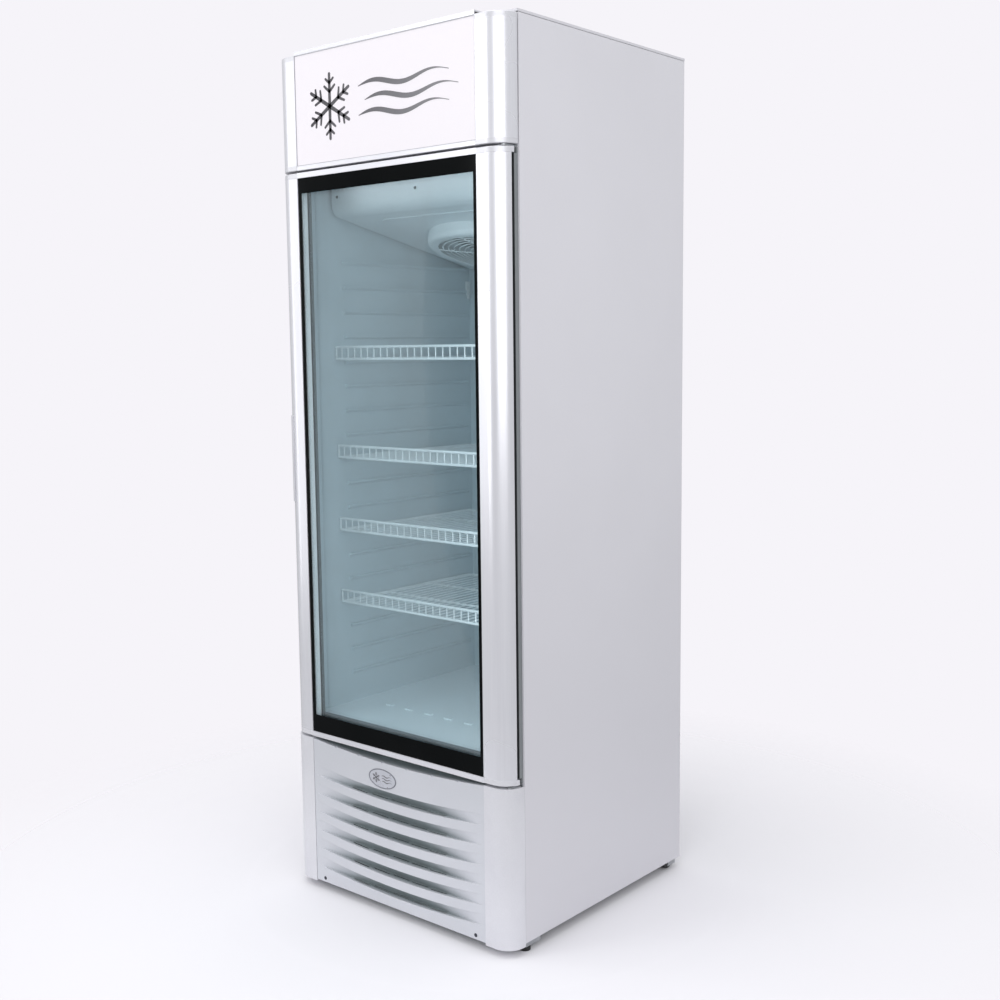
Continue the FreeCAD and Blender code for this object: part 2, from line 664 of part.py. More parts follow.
# ---------------------------------------------------------------- machine space
COMP_X = 165.0
COMP_D = 500.0
COMP_R = 84.0
PAN_TOP = PAN_Z + PAN_T
shell = post(COMP_R, COMP_X, COMP_D, 52.0, 232.0)
rim = [e for e in shell.Edges if e.Length > 200 and abs(e.Vertexes[0].Point.z - 232.0) < 0.1]
shell = shell.makeFillet(52.0, rim)
low = [e for e in shell.Edges if e.Length > 200 and abs(e.Vertexes[0].Point.z - 52.0) < 0.1]
shell = shell.makeFillet(20.0, low)
comp = [shell, post(COMP_R + 4, COMP_X, COMP_D, 138.0, 143.0),
        box(COMP_X - 100, COMP_X + 100, COMP_D - 62, COMP_D + 62, 46.0, 50.0),
        post(40.0, COMP_X, COMP_D, 48.0, 60.0),
        box(COMP_X - 112, COMP_X - 70, COMP_D - 28, COMP_D + 28, 110.0, 180.0)]
for x in (-86.0, 86.0):
    for depth in (-50.0, 50.0):
        comp.append(post(11.0, COMP_X + x, COMP_D + depth, PAN_TOP, 47.0))
save("compressor", fuse(comp))

COND_X0 = -225.0
COND_X1 = 185.0
COND_Z0 = 52.0
COND_Z1 = 332.0
cond = finned_coil(COND_X0, COND_X1, 70.0, 112.0, COND_Z0, COND_Z1, 35,
                   (82.0, 100.0), (80.0, 136.0, 192.0, 248.0, 304.0))
for x in (COND_X0 + 0.5, COND_X1 - 1.5):
    cond = fuse([cond, box(x - 0.5, x + 1.5, 72.0, 110.0, PAN_TOP, COND_Z0 + 2)])
save("condenser_coil", cond)

FAN2_X = -20.0
FAN2_Z = 192.0
FAN2_R = 112.0
SHROUD_D = 112.5
SHROUD_BACK = 146.0
shroud = box(COND_X0 + 1, COND_X1 - 1, SHROUD_D, SHROUD_BACK, COND_Z0, COND_Z1)
shroud = shroud.cut(box(COND_X0 + 2.2, COND_X1 - 2.2, SHROUD_D - 1, SHROUD_BACK - SHEET,
                        COND_Z0 + SHEET, COND_Z1 - SHEET))
shroud = shroud.cut(rod(FAN2_R, (FAN2_X, SHROUD_BACK - 5, FAN2_Z), (FAN2_X, SHROUD_BACK + 5, FAN2_Z)))
for x in (COND_X0 + 1, COND_X1 - 3):
    shroud = fuse([shroud, box(x, x + 2, SHROUD_D, SHROUD_BACK, PAN_TOP, COND_Z0 + 2)])
save("condenser_fan_shroud", shroud)


def on_shroud(local):
    """Place a shape made along +Z on the shroud's fan hole, facing back."""
    local = local.copy()
    local.rotate(V(0, 0, 0), V(1, 0, 0), -90.0)
    local.translate(V(FAN2_X, FRONT_Y + SHROUD_BACK, FAN2_Z))
    return local


save("condenser_fan_blade",
     on_shroud(fan_blades(26.0, FAN2_R - 5, 5, 24.0, 2.0, 52.0, FAN_SHAFT_R + RUN_FIT)))
motor = [disc(36.0, 24.0, 74.0), disc(FAN_SHAFT_R, -3.5, 30.0)]
for k in range(4):
    arm = Part.makeBox(FAN2_R + 8, 9, 2, V(0, -4.5, 44))
    leg = Part.makeBox(9, 9, 46, V(FAN2_R + 2, -4.5, 0))
    spider = fuse([arm, leg])
    spider.rotate(V(0, 0, 0), V(0, 0, 1), 90.0 * k + 45)
    motor.append(spider)
save("condenser_fan_motor", on_shroud(fuse(motor)))


def tube_run(points, radius):
    """Tube through (x, depth, z) points with ball corners."""
    solids = []
    for a, b in zip(points[:-1], points[1:]):
        solids.append(rod(radius, a, b))
    for p in points[1:-1]:
        solids.append(Part.makeSphere(radius * 1.02, V(p[0], FRONT_Y + p[1], p[2])))
    return fuse(solids)


discharge = tube_run([(COMP_X - 30, COMP_D - 88.5, 180), (COMP_X - 30, 330, 180),
                      (250, 330, 180), (250, 100, 180), (250, 100, 304),
                      (COND_X1 + 10.2, 100, 304)], 4.0)
liquid = tube_run([(COND_X1 + 10.2, 82, 80), (225, 82, 80), (225, 240, 80), (60, 240, 80)], 3.5)
drier = fuse([rod(12.0, (-30, 240, 80), (60, 240, 80)), tube_run(
    [(-28, 240, 80), (-60, 240, 80), (-60, 560, 80), (-60, 560, 381)], 2.5)])
suction = tube_run([(COMP_X + 20, COMP_D + 88.5, 180), (COMP_X + 20, 625, 180),
                    (40, 625, 180), (40, 625, 381)], 5.0)
save("refrigerant_tubes", Part.makeCompound([discharge, fuse([liquid, drier]), suction]))

tray_box = box(-250.0, -90.0, 440.0, 620.0, PAN_TOP, 78.0)
tray_box = tray_box.cut(box(-248.0, -92.0, 442.0, 618.0, PAN_TOP + 2, 90.0))
save("evaporation_tray", tray_box)

GLAND_X = -275.0
GLAND_Z = 130.0
REAR_D = SIDE_BACK
ebox = fuse([box(-320.0, -235.0, 250.0, 410.0, PAN_TOP, 115.0),
             box(-324.0, -231.0, 246.0, 250.0, PAN_TOP, 119.0)])
gland = rod(13.0, (GLAND_X, REAR_D - 8, GLAND_Z), (GLAND_X, REAR_D, GLAND_Z))
gland = fuse([gland, rod(10.0, (GLAND_X, REAR_D - 14, GLAND_Z), (GLAND_X, DEPTH, GLAND_Z))])
gland = gland.cut(rod(4.5, (GLAND_X, REAR_D - 20, GLAND_Z), (GLAND_X, DEPTH + 5, GLAND_Z)))
save("electrical_box", Part.makeCompound([ebox, gland]))

grille = box(-PAN_X, PAN_X, REAR_D, DEPTH, 31.0, FLOOR_Z - 2)
for row in range(14):
    z = 80.0 + 22.0 * row
    for x0 in (-230.0, -70.0, 90.0):
        grille = grille.cut(box(x0, x0 + 140.0, REAR_D - 1, DEPTH + 1, z, z + 9.0))
grille = grille.cut(rod(10.0, (GLAND_X, REAR_D - 5, GLAND_Z), (GLAND_X, DEPTH + 5, GLAND_Z)))
save("rear_grille", grille)

# ---------------------------------------------------------------- kick panel
KICK_X = 272.0
KICK_T = 3.0
RIM_SIDE_Z = 376.5
RIM_MID_Z = 363.5
LEDGE_BACK = 46.0
KICK_SETBACK = 1.0
SLOTS = 6
SLOT_PITCH = 45.3
SLOT_TOP_Z = 297.5
SLOT_H = 23.5
SLOT_HALF = 264.0
SLOT_SAG = 14.0
SLOT_START = 1.0        # depth where the scoop's back begins, just above its upper edge
SLOT_SLOPE = 0.5
VENT_PITCH = 62.0       # air slots along the rear of each scoop's lower lip
VENT_W = 52.0
VENT_DEEP = 5.0


def arc_xz(half, z_mid, z_end, depth):
    def vec(x, z):
        return V(x, FRONT_Y + depth, z)
    return Part.Arc(vec(-half, z_end), vec(0, z_mid), vec(half, z_end)).toShape()


def smile_band(half, z_low, z_high, sag, d0, d1):
    """Band between two parallel sagging arcs, extruded in depth."""
    low = arc_xz(half, z_low, z_low + sag, d0)
    high = arc_xz(half, z_high, z_high + sag, d0)
    def vec(x, z):
        return V(x, FRONT_Y + d0, z)
    left = Part.makeLine(vec(-half, z_low + sag), vec(-half, z_high + sag))
    right_edge = Part.makeLine(vec(half, z_low + sag), vec(half, z_high + sag))
    wire = Part.Wire(Part.__sortEdges__([low, high, left, right_edge]))
    return Part.Face(wire).extrude(V(0, d1 - d0, 0))


def lens_wire(half, sagitta, z, front, rim):
    """Plan outline of the recess: straight in front, bowed to the back from depth rim."""
    def vec(x, depth):
        return V(x, FRONT_Y + depth, z)
    bow = Part.Arc(vec(-half, rim), vec(0, rim + sagitta), vec(half, rim)).toShape()
    left = Part.makeLine(vec(-half, rim), vec(-half, front))
    across = Part.makeLine(vec(-half, front), vec(half, front))
    right_edge = Part.makeLine(vec(half, front), vec(half, rim))
    return Part.Wire(Part.__sortEdges__([bow, left, across, right_edge]))


def scoop_depth(z_top, z):
    """Depth of the scoop's back at mid width: it slopes in from the top to the lower lip."""
    start = z_top + SLOT_SAG + 4.0
    return SLOT_START + (start - z) * SLOT_SLOPE


def scoop(z_top, grow, front):
    """Recess that slopes in to a lip along its lower edge and fades at both ends."""
    z_low = z_top - SLOT_H
    z_a = z_low - 3.0
    z_b = z_top + SLOT_SAG + 4.0
    half = SLOT_HALF + grow
    loft = Part.makeLoft([lens_wire(half, scoop_depth(z_top, z_a), z_a, front, grow),
                          lens_wire(half, scoop_depth(z_top, z_b), z_b, front, grow)], True, True)
    band = smile_band(SLOT_HALF + grow, z_low - grow, z_top + grow, SLOT_SAG, -6.0, 60.0)
    return loft.common(band)


panel = box(-KICK_X, KICK_X, 0, KICK_T, KICK_BOTTOM, RIM_SIDE_Z + 2)
trim = smile_band(KICK_X + 0.5, RIM_MID_Z, RIM_MID_Z + 60, RIM_SIDE_Z - RIM_MID_Z, -5, KICK_T + 5)
panel = panel.cut(trim)
ledge = smile_band(KICK_X, RIM_MID_Z - KICK_T, RIM_MID_Z, RIM_SIDE_Z - RIM_MID_Z, 0, LEDGE_BACK)
side_wall = box(KICK_X - KICK_T, KICK_X, 0, LEDGE_BACK, KICK_BOTTOM, RIM_SIDE_Z - KICK_T)
bottom_wall = box(-KICK_X, KICK_X, 0, LEDGE_BACK, KICK_BOTTOM, KICK_BOTTOM + KICK_T)
upstand = box(-KICK_X, KICK_X, LEDGE_BACK - KICK_T, LEDGE_BACK, RIM_MID_Z - KICK_T, 382.0)
parts = [panel, ledge, side_wall, mirror_x(side_wall), bottom_wall, upstand]
tops = [SLOT_TOP_Z - SLOT_PITCH * k for k in range(SLOTS)]
for z_top in tops:
    parts.append(scoop(z_top, 1.8, 1.0))
panel = fuse(parts)
for z_top in tops:
    panel = panel.cut(scoop(z_top, 0.0, -5.0))
    for k in range(-2, 3):
        x = VENT_PITCH * k
        z = z_top - SLOT_H + SLOT_SAG * (x / SLOT_HALF) ** 2
        taper = 1 - ((abs(x) + VENT_W / 2) / SLOT_HALF) ** 2
        back = scoop_depth(z_top, z) * taper - 1.0
        near = max(back - VENT_DEEP, KICK_T + 1.5)
        panel = panel.cut(box(x - VENT_W / 2, x + VENT_W / 2, near, back, z - 9, z + 3))
for k in range(-2, 4):
    x = 78.0 * k - 39.0
    z = RIM_MID_Z + (RIM_SIDE_Z - RIM_MID_Z) * (x / KICK_X) ** 2
    panel = panel.cut(box(x - 3.5, x + 3.5, -1, KICK_T + 1, z - 1.6, z + 8))
KICK_SCREW_Z = 32.0
for side in (-1, 1):
    panel = panel.cut(rod(2.6, (side * 243, -2, KICK_SCREW_Z), (side * 243, 8, KICK_SCREW_Z)))
panel.translate(V(0, KICK_SETBACK, 0))
save("kick_panel", panel)


heads = []
for side in (-1, 1):
    shank = rod(2.5, (side * 243, 0.2, KICK_SCREW_Z), (side * 243, 14, KICK_SCREW_Z))
    heads.append(shank)
save("panel_screws", Part.makeCompound(heads))

BADGE_X = -38.0
BADGE_Z = 325.5
face = Part.Face(Part.Wire(Part.Ellipse(V(0, 0, 0), 44.0, 23.0).toShape()))
badge = face.extrude(V(0, 0, 1.0))
badge.rotate(V(0, 0, 0), V(1, 0, 0), 90.0)
badge.translate(V(BADGE_X, FRONT_Y, BADGE_Z))
save("badge_plate", badge)

KICK_COLUMN_Z0 = 18.0
KICK_COLUMN_BACK = SIDE_FRONT - 0.4
shell = column_shell(SEAM_X, KICK_CORNER_R, KICK_COLUMN_BACK,
                     KICK_COLUMN_Z0 + 3, KICK_TOP - 3, COLUMN_WALL)
lid = column_block(SEAM_X, KICK_CORNER_R, KICK_COLUMN_BACK, KICK_TOP - 3, KICK_TOP)
lid = lid.cut(box(300, HALF - 2, 44.0, 52.0, KICK_TOP - 5, KICK_TOP + 5))
foot_cap = column_block(SEAM_X, KICK_CORNER_R, KICK_COLUMN_BACK, KICK_COLUMN_Z0, KICK_COLUMN_Z0 + 3)
column = fuse([shell, lid, foot_cap])
save("kick_columns", both(column))

# ---------------------------------------------------------------- hinges
BRACKET_T = 2.5
LOW_PLATE_Z = 379.0
TOP_PLATE_Z = 1712.4
EYE_R = 6.5
bottom_hinge = fuse([
    box(306, 334.5, HINGE_D, SIDE_FRONT, LOW_PLATE_Z, LOW_PLATE_Z + BRACKET_T),
    post(EYE_R, HINGE_X, HINGE_D, LOW_PLATE_Z, LOW_PLATE_Z + BRACKET_T),
    box(306, 341, SIDE_FRONT - 3, SIDE_FRONT, 336.0, LOW_PLATE_Z + BRACKET_T),
    post(PIN_R, HINGE_X, HINGE_D, LOW_PLATE_Z, 392.5),
])
save("hinge_bracket_bottom", bottom_hinge)
top_hinge = fuse([
    box(306, 334.5, HINGE_D, SIDE_FRONT, TOP_PLATE_Z, TOP_PLATE_Z + BRACKET_T),
    post(EYE_R, HINGE_X, HINGE_D, TOP_PLATE_Z, TOP_PLATE_Z + BRACKET_T),
    box(306, 341, SIDE_FRONT - 3, SIDE_FRONT, TOP_PLATE_Z, 1762.0),
    post(PIN_R, HINGE_X, HINGE_D, 1702.0, TOP_PLATE_Z + BRACKET_T),
])
save("hinge_bracket_top", top_hinge)

# ---------------------------------------------------------------- door
GLASS_X = 279.5
GLASS_Z0 = 388.3
GLASS_Z1 = 1706.2
GLASS_FRONT = 2.4
GLASS_T = 4.0
SPACER_T = 14.0
STILE_WALL = 2.5
NOTCH_X = 280.0
stile_z0 = DOOR_BOTTOM + RAIL_H
stile_z1 = DOOR_TOP - RAIL_H

stile = column_block(SEAM_X, CORNER_R, DOOR_REAR, stile_z0, stile_z1)
stile = stile.cut(box(SEAM_X - 1, NOTCH_X, GLASS_FRONT, DOOR_REAR + 1, stile_z0 - 1, stile_z1 + 1))
hollow = column_block(NOTCH_X + STILE_WALL, CORNER_R, DOOR_REAR - STILE_WALL,
                      stile_z0 - 1, stile_z1 + 1, STILE_WALL)
stile = stile.cut(hollow)
save("door_stile_right", stile)
save("door_stile_left", mirror_x(stile))


def corner_cap(z0, z1, with_bush):
    block = column_block(SEAM_X, CORNER_R, CAP_REAR, z0, z1)
    outer_z, seam_z = (z1, z0) if z1 == DOOR_TOP else (z0, z1)
    block = block.makeFillet(2.0, front_rim(block, outer_z, CAP_REAR))
    block = block.makeChamfer(0.6, front_rim(block, seam_z, CAP_REAR))
    block = block.cut(box(SEAM_X - 1, NOTCH_X, GLASS_FRONT, CAP_REAR + 1,
                          GLASS_Z0 - 0.3, GLASS_Z1 + 0.3))
    block = block.cut(box(SEAM_X - 1, 326.0, DOOR_REAR, CAP_REAR + 1, z0 - 1, z1 + 1))
    if with_bush:
        block = block.cut(post(BUSH_R, HINGE_X, HINGE_D, z0 - 1, z1 + 1))
    return block


BUSH_R = 5.5
BUSH_FLANGE_R = 6.8
caps = [
    corner_cap(stile_z1, DOOR_TOP, True),
    corner_cap(DOOR_BOTTOM, stile_z0, True),
    mirror_x(corner_cap(stile_z1, DOOR_TOP, False)),
    mirror_x(corner_cap(DOOR_BOTTOM, stile_z0, False)),
]
save("door_corner_caps", Part.makeCompound(caps))


def bush(z0, z1, flange_z0, flange_z1):
    body = fuse([post(BUSH_R, HINGE_X, HINGE_D, z0, z1),
                 post(BUSH_FLANGE_R, HINGE_X, HINGE_D, flange_z0, flange_z1)])
    return body.cut(post(PIN_R + RUN_FIT, HINGE_X, HINGE_D, z0 - 5, z1 + 5))


top_bush = bush(stile_z1, DOOR_TOP + 0.7, DOOR_TOP, DOOR_TOP + 0.7)
low_bush = bush(DOOR_BOTTOM - 1.2, stile_z0, DOOR_BOTTOM - 1.2, DOOR_BOTTOM)
save("hinge_bushes", Part.makeCompound([top_bush, low_bush]))


def door_rail(z0, z1, wall_z0, wall_z1):
    lip = box(-SEAM_X, SEAM_X, 0, GLASS_FRONT - 0.2, z0, z1)
    wall = box(-SEAM_X, SEAM_X, 0, DOOR_REAR, wall_z0, wall_z1)
    return fuse([lip, wall])


rails = [door_rail(stile_z1, DOOR_TOP, GLASS_Z1 + 0.2, DOOR_TOP),
         door_rail(DOOR_BOTTOM, stile_z0, DOOR_BOTTOM, GLASS_Z0 - 0.2)]
save("door_rails", Part.makeCompound(rails))

outer_back = GLASS_FRONT + GLASS_T
inner_front = outer_back + SPACER_T
inner_back = inner_front + GLASS_T
save("door_glass_outer", box(-GLASS_X, GLASS_X, GLASS_FRONT, outer_back, GLASS_Z0, GLASS_Z1))
save("door_glass_inner", box(-GLASS_X, GLASS_X, inner_front, inner_back, GLASS_Z0, GLASS_Z1))
spacer = ring(275.0, 263.0, outer_back, inner_front, 393.0, 1701.5, 405.0, 1689.5)
save("glass_spacer", Part.makeCompound(spacer))

INNER_X = 262.0
INNER_Z0 = 416.0
INNER_Z1 = 1677.0
FLANGE_X = 324.0
FLANGE_Z0 = 396.0
FLANGE_Z1 = 1699.0
FRAME_BACK = DOOR_REAR + 2.0
nx = NOTCH_X - 0.3


def inner_side(side):
    xs = sorted((side * INNER_X, side * nx))
    fs = sorted((side * INNER_X, side * FLANGE_X))
    return fuse([box(xs[0], xs[1], inner_back, FRAME_BACK, GLASS_Z0, GLASS_Z1),
                 box(fs[0], fs[1], DOOR_REAR, FRAME_BACK, FLANGE_Z0, FLANGE_Z1)])


inner_frame = [
    inner_side(-1), inner_side(1),
    box(-INNER_X, INNER_X, inner_back, FRAME_BACK, GLASS_Z0, INNER_Z0),
    box(-INNER_X, INNER_X, inner_back, FRAME_BACK, INNER_Z1, GLASS_Z1),
]
save("door_inner_frame", Part.makeCompound(inner_frame))

GASKET_BACK = FRAME_FRONT - 0.3
gasket = ring(322.0, 304.0, FRAME_BACK, GASKET_BACK, 398.0, 1697.5, 416.0, 1680.0)
save("door_gasket", Part.makeCompound(gasket))

GRIP_Z0 = 950.0
GRIP_Z1 = 1154.0
GRIP_GAP = 0.15
GRIP_T = 2.2
grip_a = radians(20.0)
grip_b = acos((CORNER_R - DOOR_REAR) / CORNER_R)


def grip_plan():
    r_in = CORNER_R + GRIP_GAP
    r_out = r_in + GRIP_T
    def vec(p):
        return V(p[0], FRONT_Y + p[1], GRIP_Z0)
    mid = (grip_a + grip_b) / 2
    a_in = vec(arc_point(r_in, CORNER_R, grip_a))
    a_mid = vec(arc_point(r_in, CORNER_R, mid))
    a_out = vec(arc_point(r_in, CORNER_R, grip_b))
    b_in = vec(arc_point(r_out, CORNER_R, grip_a))
    b_mid = vec(arc_point(r_out, CORNER_R, mid))
    b_out = vec(arc_point(r_out, CORNER_R, grip_b))
    edges = [Part.Arc(a_in, a_mid, a_out).toShape(), Part.Arc(b_in, b_mid, b_out).toShape(),
             Part.makeLine(a_in, b_in), Part.makeLine(a_out, b_out)]
    return Part.Face(Part.Wire(Part.__sortEdges__(edges)))


cover_strip = grip_plan().extrude(V(0, 0, GRIP_Z1 - GRIP_Z0))
tip = arc_point(CORNER_R + GRIP_GAP + GRIP_T, CORNER_R, grip_b)
web = box(tip[0] - 2.2, tip[0], tip[1] - 1.0, FRAME_BACK + 0.2, GRIP_Z0, GRIP_Z1)
tail = box(327.0, tip[0], DOOR_REAR, FRAME_BACK + 0.2, GRIP_Z0, GRIP_Z1)
grip = fuse([cover_strip, web, tail])
save("door_grip", mirror_x(grip))
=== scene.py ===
from math import atan2, cos, pi, radians, sin, tau

import bmesh
import bpy
from mathutils import Matrix, Vector


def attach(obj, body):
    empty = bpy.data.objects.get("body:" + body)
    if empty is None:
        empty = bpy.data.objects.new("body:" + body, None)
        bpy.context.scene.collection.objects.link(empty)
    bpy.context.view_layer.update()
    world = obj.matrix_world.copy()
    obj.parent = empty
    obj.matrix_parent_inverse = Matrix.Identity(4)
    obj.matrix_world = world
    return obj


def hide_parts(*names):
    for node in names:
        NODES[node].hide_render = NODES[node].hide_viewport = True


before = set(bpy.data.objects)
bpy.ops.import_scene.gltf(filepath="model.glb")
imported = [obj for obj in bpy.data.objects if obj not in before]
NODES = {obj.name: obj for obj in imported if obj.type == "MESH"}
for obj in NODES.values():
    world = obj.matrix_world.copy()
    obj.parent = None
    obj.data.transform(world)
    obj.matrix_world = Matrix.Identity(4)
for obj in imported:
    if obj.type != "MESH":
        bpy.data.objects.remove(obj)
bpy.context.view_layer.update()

FRONT = -0.334          # the front face of the door and columns, in the row frame


def place(x, depth, z):
    """Row-frame point from millimetres: across, behind the front face, and up."""
    return Vector((x / 1000, FRONT + depth / 1000, z / 1000))


# ------------------------------------------------------------ camera
CAMERA_AT = (2.0177, -2.3323, 1.3115)
YAW, PITCH, ROLL = radians(40.24), radians(6.83), radians(-0.61)
LENS_MM = 46.11

forward = Vector((-sin(YAW) * cos(PITCH), cos(YAW) * cos(PITCH), -sin(PITCH)))
across = Vector((cos(YAW), sin(YAW), 0))
upward = across.cross(forward)
right = cos(ROLL) * across + sin(ROLL) * upward
top = -sin(ROLL) * across + cos(ROLL) * upward
camera = bpy.data.objects.new("camera", bpy.data.cameras.new("camera"))
camera.data.lens = LENS_MM
camera.data.sensor_width = 36.0
axes = Matrix((right, top, -forward)).transposed().to_4x4()
camera.matrix_world = Matrix.Translation(CAMERA_AT) @ axes
bpy.context.scene.collection.objects.link(camera)
bpy.context.scene.camera = camera


# ------------------------------------------------------------ shader helpers
def srgb(r, g, b):
    """Linear colour from display values of 0 to 255."""
    def linear(c):
        c /= 255
        return c / 12.92 if c <= 0.04045 else ((c + 0.055) / 1.055) ** 2.4
    return (linear(r), linear(g), linear(b), 1.0)


def put(tree, kind, inputs=None, **attributes):
    """Adds a node. Each input is a value, or the output socket that feeds it."""
    node = tree.nodes.new(kind)
    for name, value in attributes.items():
        setattr(node, name, value)
    for name, value in (inputs or {}).items():
        if isinstance(value, bpy.types.NodeSocket):
            tree.links.new(value, node.inputs[name])
        else:
            node.inputs[name].default_value = value
    return node


def blank(name):
    material = bpy.data.materials.new(name)
    material.use_nodes = True
    return material, material.node_tree, material.node_tree.nodes["Principled BSDF"]


def noise(tree, where, scale, detail=2.0, roughness=0.5):
    return put(tree, "ShaderNodeTexNoise",
               {"Vector": where, "Scale": scale, "Detail": detail,
                "Roughness": roughness}).outputs["Fac"]


def ranged(tree, value, low, high, to_low=0.0, to_high=1.0):
    return put(tree, "ShaderNodeMapRange",
               {"Value": value, "From Min": low, "From Max": high,
                "To Min": to_low, "To Max": to_high}).outputs["Result"]


def blended(tree, factor, a, b, kind="MIX"):
    node = tree.nodes.new("ShaderNodeMix")
    node.data_type = "RGBA"
    node.blend_type = kind
    for index, value in ((0, factor), (6, a), (7, b)):
        if isinstance(value, bpy.types.NodeSocket):
            tree.links.new(value, node.inputs[index])
        else:
            node.inputs[index].default_value = value
    return node.outputs[2]


def surface(name, dark, light, rough=(0.35, 0.45), cloud=3.0, grain=500.0, bump=0.02,
            stretch=(1, 1, 1), speckle=0.05, edge=0.0, worn=None, fixed=None,
            recess_shade=None, low_shade=None):
    """Painted, moulded or metal finish.

    dark and light are the patchy colour's two ends, rough its roughness range and cloud the
    patches' scale. grain is the fine texture's scale, stretched for drawn finishes, bump its
    height in mm, and speckle how far it lightens and darkens the colour. edge is the softened
    edge in mm, and worn the colour that the softened edges rub through to. recess_shade is
    painted shade in recesses: its colour, and the two depths in mm that it deepens over;
    low_shade is painted shade towards the floor: its colour, and the height in metres that it
    fades out at. fixed sets other inputs.
    """
    material, tree, shader = blank(name)
    here = put(tree, "ShaderNodeTexCoord").outputs["Object"]
    drawn = put(tree, "ShaderNodeMapping", {"Vector": here, "Scale": stretch}).outputs["Vector"]
    patches = ranged(tree, noise(tree, here, cloud, 4.0, 0.55), 0.32, 0.68)
    fine = noise(tree, drawn, grain, 2.0)
    colour = blended(tree, patches, dark, light)
    shade = ranged(tree, fine, 0.3, 0.7, 1.0 - speckle, 1.0 + speckle)
    even = put(tree, "ShaderNodeCombineColor", {"Red": shade, "Green": shade, "Blue": shade})
    colour = blended(tree, 1.0, colour, even.outputs["Color"], "MULTIPLY")
    bumped = {"Height": fine, "Distance": bump / 1000, "Strength": 1.0}
    if edge:
        soft = put(tree, "ShaderNodeBevel", {"Radius": edge / 1000}, samples=4).outputs["Normal"]
        bumped["Normal"] = soft
        if worn:
            true = put(tree, "ShaderNodeNewGeometry").outputs["Normal"]
            along = put(tree, "ShaderNodeVectorMath", {0: soft, 1: true}, operation="DOT_PRODUCT")
            turned = ranged(tree, along.outputs["Value"], 0.995, 0.85)
            patchy = ranged(tree, noise(tree, here, 60.0, 3.0), 0.42, 0.62)
            rubbed = put(tree, "ShaderNodeMath", {0: turned, 1: patchy}, operation="MULTIPLY")
            colour = blended(tree, rubbed.outputs["Value"], colour, worn)
    # painted shade: the colour darkens towards the floor, where the light falls off
    if low_shade:
        low_shade_colour, shade_fade_height = low_shade
        height = put(tree, "ShaderNodeSeparateXYZ", {"Vector": here}).outputs["Z"]
        colour = blended(tree, ranged(tree, height, shade_fade_height, 0.1), colour, low_shade_colour)
    # painted shade: the colour darkens with depth behind the front face, standing in for shade in
    # recesses
    if recess_shade:
        recess_shade_colour, shallow, deep = recess_shade
        back = put(tree, "ShaderNodeSeparateXYZ", {"Vector": here}).outputs["Y"]
        recess_shade_mask = ranged(tree, back, FRONT + shallow / 1000, FRONT + deep / 1000)
        colour = blended(tree, recess_shade_mask, colour, recess_shade_colour)
    tree.links.new(colour, shader.inputs["Base Color"])
    tree.links.new(put(tree, "ShaderNodeBump", bumped).outputs["Normal"], shader.inputs["Normal"])
    tree.links.new(ranged(tree, patches, 0.0, 1.0, *rough), shader.inputs["Roughness"])
    for socket, value in (fixed or {}).items():
        shader.inputs[socket].default_value = value
    return material


def grey(value):
    """Slightly cool grey."""
    return srgb(value, value, value + 3)


DRAWN_UP = (1, 1, 0.012)        # die lines run up the extrusions
DRAWN_ACROSS = (0.012, 1, 1)

